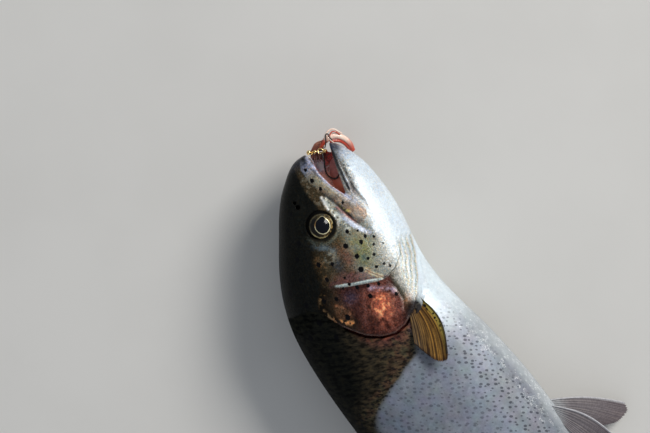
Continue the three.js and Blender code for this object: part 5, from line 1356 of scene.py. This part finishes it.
class Heap:
    """Gathers closed bits, in fish mm, into one mesh."""

    def __init__(self):
        self.v, self.q, self.t, self.n = [], [], [], 0
        self.tone = []

    def add(self, verts, quads_=None, tris_=None, tone=0.5):
        verts = np.asarray(verts, float)
        quads_ = np.zeros((0, 4), int) if quads_ is None else quads_
        tris_ = np.zeros((0, 3), int) if tris_ is None else tris_
        w_ = laid(*verts.T)
        t3 = np.concatenate([quads_[:, [0, 1, 2]], quads_[:, [0, 2, 3]], tris_]) if len(quads_) else tris_
        if not outward(w_ - w_.mean(0), t3):
            quads_, tris_ = quads_[:, ::-1], tris_[:, ::-1]
        self.v.append(verts)
        self.q.append(quads_ + self.n)
        self.t.append(tris_ + self.n)
        self.tone.append(np.broadcast_to(tone, (len(verts),)))
        self.n += len(verts)

    def tube(self, path, radius, sides=12, flat=1.0, tone=0.5, wave=None):
        self.add(*sweep(path, radius, sides, flat, wave), tone=tone)

    def ball(self, c, r, na=32, nb=20, squash=(1, 1, 1), tone=0.5):
        pol = np.linspace(0, np.pi, nb + 1)[1:-1]
        az = np.linspace(0, 2 * np.pi, na, endpoint=False)
        T, Z = np.meshgrid(pol, az, indexing="ij")
        unit = np.stack([np.sin(T) * np.cos(Z), np.sin(T) * np.sin(Z), np.cos(T)], -1).reshape(-1, 3)
        unit = np.concatenate([unit, [[0, 0, 1], [0, 0, -1]]]) * r * np.asarray(squash) + np.asarray(c)
        i, j = np.meshgrid(np.arange(nb - 2), np.arange(na), indexing="ij")
        j1 = (j + 1) % na
        q = np.stack([i * na + j, (i + 1) * na + j, (i + 1) * na + j1, i * na + j1], -1).reshape(-1, 4)
        k = np.arange(na)
        t = np.concatenate([np.stack([np.full(na, len(unit) - 2), k, (k + 1) % na], 1),
                            np.stack([np.full(na, len(unit) - 1), (nb - 2) * na + (k + 1) % na, (nb - 2) * na + k], 1)])
        self.add(unit, q, t, tone)

    def ring(self, c, R, r, tilt=0.0, lean=0.0, na=48, nb=14, tone=0.5):
        a, b = np.meshgrid(np.linspace(0, 2 * np.pi, na, endpoint=False), np.linspace(0, 2 * np.pi, nb, endpoint=False), indexing="ij")
        p = np.stack([(R + r * np.cos(b)) * np.cos(a), (R + r * np.cos(b)) * np.sin(a), r * np.sin(b)], -1).reshape(-1, 3)
        ct, st, cl, sl = math.cos(tilt), math.sin(tilt), math.cos(lean), math.sin(lean)
        p = p @ np.array([[1, 0, 0], [0, ct, st], [0, -st, ct]]) @ np.array([[cl, 0, sl], [0, 1, 0], [-sl, 0, cl]])
        i, j = np.meshgrid(np.arange(na), np.arange(nb), indexing="ij")
        f = lambda i_, j_: (i_ % na) * nb + (j_ % nb)
        q = np.stack([f(i, j), f(i + 1, j), f(i + 1, j + 1), f(i, j + 1)], -1).reshape(-1, 4)
        self.add(p + np.asarray(c), q, None, tone)

    def mesh(self, name, slot, mat, nodes=()):
        v = np.concatenate(self.v)
        ob = new_mesh(name, laid(*v.T), [np.concatenate(self.q), np.concatenate(self.t)])
        paint_on(ob, np.full((len(v), 3), 0.5), fish=v, tone=np.concatenate(self.tone))
        ob.data.materials.append(mat)
        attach(ob, "root")
        if nodes:
            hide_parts(*nodes)
        return ob


# ---------------------------------------------------------------- mouth: tongue and teeth
def flesh_look():
    L = Look("tongue_flesh")
    P = L.attr("fish", "Vector")
    n, f = L.noise(P, 0.5, 3), L.noise(P, 3.0, 3, 0.6)
    # painted light: the tongue's colours, and the orange towards its rear, brightened past the flesh's own to stand in
    # for light the deep mouth doesn't get
    col = L.mix(L.span(n, 0.3, 0.7), (0.30, 0.095, 0.085), (0.42, 0.14, 0.12))
    col = L.mix(L.span(L.node("ShaderNodeSeparateXYZ", None, {0: P}).outputs[0], 17.0, 25.0), col, (0.95, 0.40, 0.26))
    col = L.mix(L.span(f, 0.45, 0.75, 0.0, 0.35), col, (0.62, 0.34, 0.30))
    L.set(Base_Color=col, Roughness=L.span(f, 0.2, 0.8, 0.25, 0.45), Normal=L.bump(f, 0.0001, 0.6), Coat_Weight=0.5, Coat_Roughness=0.1, Subsurface_Weight=0.0)
    return L.mat


def tooth_look():
    L = Look("teeth")
    P = L.attr("fish", "Vector")
    f = L.noise(P, 2.0, 2)
    col = L.mix(L.span(f, 0.3, 0.7), (0.50, 0.42, 0.32), (0.66, 0.60, 0.50))
    L.set(Base_Color=col, Roughness=L.span(f, 0.2, 0.8, 0.15, 0.3), Coat_Weight=0.4, Coat_Roughness=0.05)
    return L.mat


T = Heap()
na, nb = 64, 40
pol = np.linspace(0, np.pi, nb + 1)[1:-1]
az = np.linspace(0, 2 * np.pi, na, endpoint=False)
TT, ZZ = np.meshgrid(pol, az, indexing="ij")
unit = np.stack([np.cos(TT), np.sin(TT) * np.sin(ZZ), np.sin(TT) * np.cos(ZZ)], -1).reshape(-1, 3)
unit = np.concatenate([unit, [[1, 0, 0], [-1, 0, 0]]])
pt = np.stack([20 + 12 * unit[:, 0], -13 + 6 * unit[:, 1] * (1 - 0.10 * unit[:, 0]), 2.9 * unit[:, 2] * (1 + 0.15 * unit[:, 0])], 1)
pt[:, 1] -= 0.55 * np.exp(-(pt[:, 2] / 0.9) ** 2) * (unit[:, 1] > 0) * unit[:, 1]
i, j = np.meshgrid(np.arange(nb - 2), np.arange(na), indexing="ij")
j1 = (j + 1) % na
qq = np.stack([i * na + j, (i + 1) * na + j, (i + 1) * na + j1, i * na + j1], -1).reshape(-1, 4)
kk = np.arange(na)
tt_ = np.concatenate([np.stack([np.full(na, len(unit) - 2), kk, (kk + 1) % na], 1), np.stack([np.full(na, len(unit) - 1), (nb - 2) * na + (kk + 1) % na, (nb - 2) * na + kk], 1)])
T.add(pt, qq, tt_)
T.mesh("tongue_ridge", "mouth", flesh_look(), ("tongue",))

J = Heap()
rng = np.random.default_rng(5)


def tooth(root, tip, r):
    root, tip = np.asarray(root, float), np.asarray(tip, float)
    mid = root * 0.45 + tip * 0.55 + np.array([-0.06, 0, 0])
    J.tube(spline([root, mid, tip], 6), r * np.array([1, 0.92, 0.75, 0.52, 0.28, 0.05]), 8)


UPPER = [(4.5, -0.4), (8.3, -0.7), (12.1, -2.2), (16.1, -3.6), (20.8, -6.0), (25.3, -9.2)]
LOWER = [(3.6, -13.2), (8, -13.1), (14, -13.1), (20, -13.2), (25, -13.3)]
for line, sgn_z, count in ((UPPER, -1, 15), (LOWER, 1, 11)):
    ptsl = spline([(a, b, 0) for a, b in line], count)
    for sgn in (1, -1):
        for k_, (tx_, tz_, _w) in enumerate(ptsl):
            wl = float(flank(tx_, tz_)) - 2.6
            l_ = 0.55 + 0.35 * rng.random()
            root = (tx_, tz_ - sgn_z * 0.9, sgn * wl)
            tip = (tx_ + 0.3, tz_ + sgn_z * l_, sgn * (wl - 0.45))
            tooth(root, tip, 0.20)
for k_ in range(4):
    for sgn in (1, -1):
        root = (11 + 3.2 * k_, -9.6 + 1.1 * math.sin(k_), sgn * 1.2)
        tooth((root[0], -8.3 - (k_ == 0) * 0.9, root[2]), (root[0] + 0.35, -6.8 - (k_ == 0) * 0.9, root[2] * 1.05), 0.22)
J.mesh("teeth", "mouth", tooth_look())

# ---------------------------------------------------------------- the fly
HOOK = [[3.4, -7.6, 2.4], [8, -7.2, 3.2], [12.5, -6.2, 3.8], [16.2, -6.4, 4.2], [19, -8.6, 4.4], [19.3, -11.2, 4.2], [17.2, -13, 3.8]]
STRAP = [[-2, -10.6, -2.4], [-3.7, -13.6, -3], [-3.7, -17, -4], [-2.2, -19.9, -5.6], [0.2, -22.1, -7.6], [3.3, -23.5, -10], [7.4, -23.9, -12.6]]
LOOP = [[-3.3, -11, 0.4], [-6, -12.8, 0], [-7.7, -15.4, -0.6], [-7.4, -18, -1.4], [-5.4, -20, -2.6], [-3.6, -21.6, -4.2]]
BEADS = [[0.6, -0.4, 0.6, 1.4], [1.4, -4, 1, 1.1], [2.8, -9.6, 1.8, 1.2]]
EYELET = dict(x=1.9, z=-7, w=1.9, r=1.5, wire=0.4)


def metal_look(name, a, b, rough):
    L = Look(name)
    P = L.attr("fish", "Vector")
    n = L.noise(P, 1.2, 3)
    L.set(Base_Color=L.mix(L.span(n, 0.35, 0.7), a, b), Metallic=1.0, Roughness=L.span(n, 0.2, 0.8, *rough), Normal=L.bump(n, 0.00003, 0.4))
    return L.mat


def strap_look(name):
    L = Look(name)
    P = L.attr("fish", "Vector")
    tone = L.attr("tone")
    n, f = L.noise(P, 0.8, 3), L.noise(P, 4.0, 3, 0.6)
    # tone runs from dark orange red to a pale near white; on the strap the pale is painted highlight
    col = L.mix(L.span(tone, 0.15, 0.85), (0.50, 0.045, 0.018), (1.0, 0.80, 0.66))
    col = L.mix(L.span(n, 0.4, 0.7, 0.0, 0.35), col, (0.80, 0.15, 0.055))
    col = L.mix(L.span(f, 0.55, 0.8, 0.0, 0.5), col, (0.36, 0.05, 0.03))
    L.set(Base_Color=col, Roughness=L.span(f, 0.2, 0.8, 0.22, 0.4), Normal=L.bump(f, 0.0001, 0.5), Coat_Weight=0.7, Coat_Roughness=0.08)
    return L.mat


def fibre_look():
    L = Look("hackle_fibres")
    P = L.attr("fish", "Vector")
    tone = L.attr("tone")
    n = L.noise(P, 1.5, 3)
    col = L.mix(L.span(tone, 0.1, 1.0), (0.16, 0.030, 0.018), (0.72, 0.30, 0.17))
    col = L.mix(L.span(n, 0.4, 0.7, 0.0, 0.5), col, (0.05, 0.015, 0.010))
    L.set(Base_Color=col, Roughness=L.span(n, 0.2, 0.8, 0.4, 0.6), Sheen_Weight=0.3)
    return L.mat


K_ = Heap()
hp = spline(HOOK, 90)
hr = np.full(90, 0.52)
hr[-14:] = 0.52 * np.linspace(1, 0.05, 14) ** 0.8
hr[:4] *= [0.75, 0.9, 1, 1]
K_.tube(hp, hr, 16)
tipdir = hp[-1] - hp[-6]
tipdir /= np.linalg.norm(tipdir)
bp = hp[-11]
K_.tube([bp, bp - tipdir * 0.9 + np.array([-0.3, 0.35, 0.1]), bp - tipdir * 1.7 + np.array([-0.55, 0.65, 0.15])], [0.34, 0.22, 0.03], 10)
for pts_ in ([(-5.7, -12.7, 0.9), (-3.2, -12.0, 1.3), (-0.8, -11.0, 1.4), (1.2, -9.8, 1.6)], [(-5.5, -14.3, 0.7), (-3.6, -14.6, 0.9), (-1.6, -15.3, 0.6)], [(-5.7, -12.7, 0.9), (-6.2, -13.5, 0.8), (-5.5, -14.3, 0.7)]):
    K_.tube(spline(pts_, 30), 0.34, 10)
K_.mesh("hook_wire", "hook_steel", metal_look("hook_wire", (0.040, 0.040, 0.042), (0.085, 0.080, 0.075), (0.18, 0.34)), ("fly_hook",))

M_ = Heap()
for bx, bz, bw, br in BEADS:
    M_.ball((bx, bz, bw), br - 0.02, 40, 26)
    M_.ring((bx, bz, bw), br * 0.86, 0.16, tilt=1.45, lean=0.15, na=36, nb=10)
M_.ring((EYELET["x"], EYELET["z"], EYELET["w"]), EYELET["r"] - 0.05, EYELET["wire"] * 0.85, tilt=0.25, lean=0.2, na=56, nb=16)
for k_ in range(7):
    M_.ring((1.1 + 0.13 * k_, -2.5 + 0.11 * k_ - 0.05, 0.9), 0.72, 0.11, tilt=1.25, lean=0.2, na=28, nb=8)
M_.mesh("brass_bits", "brass_beads", metal_look("brass_bits", (0.86, 0.58, 0.20), (0.95, 0.76, 0.40), (0.10, 0.24)), ("fly_beads",))

R_ = Heap()
BAND = [[0.9, -6.5, -2.3], [-1.2, -8.8, -2.3], [-2.6, -10.9, -2.5]] + STRAP[1:]
sp = spline(BAND, 150)
tv = np.linspace(0, 1, 150)
# painted highlight: the strap paler, to near white, along its middle and on its upper outer side
strap_painted_highlight = np.interp(tv, [0, 0.2, 0.32, 0.5, 0.68, 0.82, 1], [0.0, 0.15, 0.65, 1.0, 0.95, 0.5, 0.1])[:, None] + 0.0 * np.zeros((1, 22))
ring_v = sweep(sp, 1.0, 22)[0][:150 * 22].reshape(150, 22, 3) - sp[:, None]
strap_painted_highlight = np.clip(strap_painted_highlight * S(-0.25, 0.85, ring_v[..., 2] * 0.8 - 0.45 * ring_v[..., 1]), 0, 1)
strap_painted_highlight = np.concatenate([strap_painted_highlight.ravel(), [0.1, 0.1]])
R_.tube(sp, 1.85 * np.interp(tv, [0, 0.12, 0.3, 0.9, 1], [0.35, 0.62, 0.95, 1, 0.85]), 22, tone=strap_painted_highlight,
        wave=lambda t_, a_: 1 + 0.030 * np.cos(52 * 2 * np.pi * t_ + 0 * a_) + 0.03 * np.cos(2 * a_ + 5 * t_))
# a dark red band under the strap, partly the fly's own dark red, partly a dark piece put in for the shade between strap
# and jaw
UNDER = [[-1.4, -13.6, -2.8], [-0.9, -16.6, -3.8], [0.2, -19.0, -5.4], [2.3, -20.9, -7.4], [4.8, -22.0, -9.6], [7.4, -22.5, -11.8]]
R_.tube(spline(UNDER, 70), 0.85, 14, tone=0.0, wave=lambda t_, a_: 1 + 0.08 * np.cos(30 * 2 * np.pi * t_ + 2 * a_))
R_.mesh("strap_body", "orange_strap", strap_look("strap_body"), ("fly_strap",))
O_ = Heap()
lp = spline(LOOP, 80)
# the loop strands at full pale tone, partly their own pale colour, partly painted highlight
O_.tube(lp, 0.48 * np.interp(np.linspace(0, 1, 80), [0, 0.1, 0.9, 1], [0.8, 1, 1, 0.7]), 14, tone=1.0, wave=lambda t_, a_: 1 + 0.05 * np.cos(a_ + 60 * t_))
O_.tube(spline([(-3.6, -14.2, -0.6), (-5.6, -15.4, -0.9), (-6.3, -17.2, -1.4), (-5.2, -18.9, -2.2), (-3.4, -20.2, -3.6)], 60), 0.42, 12, tone=0.2)
O_.tube(spline([(-5.9, -12.9, 0.3), (-3.6, -13.6, 0.5), (-1.2, -14.9, 0.6), (0.2, -15.8, 0.2)], 40), 0.30, 10, tone=1.0)
O_.mesh("loop_strand", "orange_strap", strap_look("loop_strand"), ("fly_loop",))

W_ = Heap()
rng = np.random.default_rng(3)
for k_ in range(190):
    u_ = rng.random()
    p0 = np.array([mixn(0.9, 2.2, u_), mixn(-0.8, -8.4, u_), -1.9 + rng.normal(0, 0.3)])
    p2 = np.array([-3.0 + rng.normal(0, 0.45), -10.4 + rng.normal(0, 0.7), -2.3 + rng.normal(0, 0.5)])
    bow = (1 - u_) * np.array([-1.9, 0.4, 0]) + rng.normal(0, 0.12, 3)
    end = 0.72 + 0.30 * rng.random()
    path = spline([p0, p0 * 0.5 + p2 * 0.5 + bow, p2], 9)
    path = path[:max(5, int(round(9 * end)))]
    n_ = len(path)
    W_.tube(path, 0.13 * np.interp(np.linspace(0, 1, n_), [0, 0.6, 1], [1.1, 1, 0.25]), 5, tone=np.concatenate([np.repeat(np.linspace(0.1, 0.95, n_) * (0.6 + 0.4 * rng.random()), 5), [0, 1]]))
for k_ in range(110):
    u_ = rng.random()
    p0 = np.array([mixn(1.4, 2.8, u_), mixn(-1.0, -8.8, u_), rng.uniform(-3.5, 1.2)])
    p2 = p0 + np.array([3.6 + 2.6 * rng.random(), 1.2 * (0.5 - u_) + rng.normal(0, 0.5), rng.normal(0, 0.9)])
    W_.tube(spline([p0, (p0 + p2) / 2 + rng.normal(0, 0.3, 3), p2], 7), 0.15 * np.array([1.1, 1.1, 1, 0.9, 0.7, 0.45, 0.12]), 5, tone=0.25 * rng.random())
for k_ in range(3):
    W_.tube(spline([(1.0 + 0.15 * k_, -9.0, -2.0 + 0.4 * k_), (1.1, -5, -2.05 + 0.35 * k_), (1.1 + 0.1 * k_, -0.6, -2.1 + 0.3 * k_)], 40), 0.5, 10, tone=0.05)
W_.mesh("hackle_fibres", "hackle", fibre_look(), ("fly_hackle",))

# ---------------------------------------------------------------- floor, light and camera
floor = new_mesh("floor", np.array([[-3, -3, 0], [3, -3, 0], [3, 3, 0], [-3, 3, 0]], float), np.array([[0, 1, 2, 3]]))
FL = Look("floor")
co_ = FL.node("ShaderNodeTexCoord").outputs["Object"]
fn_ = FL.noise(co_, 9.0, 4)
FL.set(Base_Color=FL.mix(FL.span(fn_, 0.35, 0.65), (0.70, 0.685, 0.655), (0.725, 0.71, 0.68)), Roughness=FL.span(fn_, 0.3, 0.7, 0.75, 0.85), Specular_IOR_Level=0.12)
floor.data.materials.append(FL.mat)

world_ = bpy.data.worlds.new("studio")
bpy.context.scene.world = world_
world_.use_nodes = True
world_.node_tree.nodes["Background"].inputs[0].default_value = (0.80, 0.86, 0.95, 1)
world_.node_tree.nodes["Background"].inputs[1].default_value = 0.30
bpy.context.scene.view_settings.view_transform = "Standard"


def area(name, loc, target, size, power, colour=(1, 1, 1)):
    lamp = bpy.data.lights.new(name, "AREA")
    lamp.shape = "RECTANGLE"
    lamp.size, lamp.size_y = size
    lamp.energy = power
    lamp.color = colour
    ob = bpy.data.objects.new(name, lamp)
    bpy.context.scene.collection.objects.link(ob)
    ob.location = loc
    ob.rotation_euler = (Vector(target) - Vector(loc)).to_track_quat("-Z", "Y").to_euler()
    return ob


area("key", (0.60, -2.76, 1.84), (0.1, 0, 0), (1.6, 1.1), 100, (1, 0.98, 0.94))
area("fill", (-1.2, 2.4, 3.2), (0, 0, 0), (3.6, 3.6), 18, (0.86, 0.92, 1)).visible_glossy = False

K = 0.565
UP = Vector((0.8387, -0.5446, 0))
aim = laid(0, 0, 0)
centre = Vector((aim[0] - 0.0361, aim[1] + 0.0113, aim[2] + 0.010))
TILT = math.radians(3)
LENS = 150.0
view = Vector((0, math.sin(TILT), -math.cos(TILT)))
distance = LENS / 36.0 * 650 * K * MM
cam = bpy.data.cameras.new("camera")
cam.lens = LENS
cam.sensor_width = 36
cam_ob = bpy.data.objects.new("camera", cam)
bpy.context.scene.collection.objects.link(cam_ob)
cam_ob.location = centre - view * distance
right = view.cross(UP).normalized()
up = right.cross(view).normalized()
cam_ob.rotation_euler = Matrix((right, up, -view)).transposed().to_euler()
bpy.context.scene.camera = cam_ob
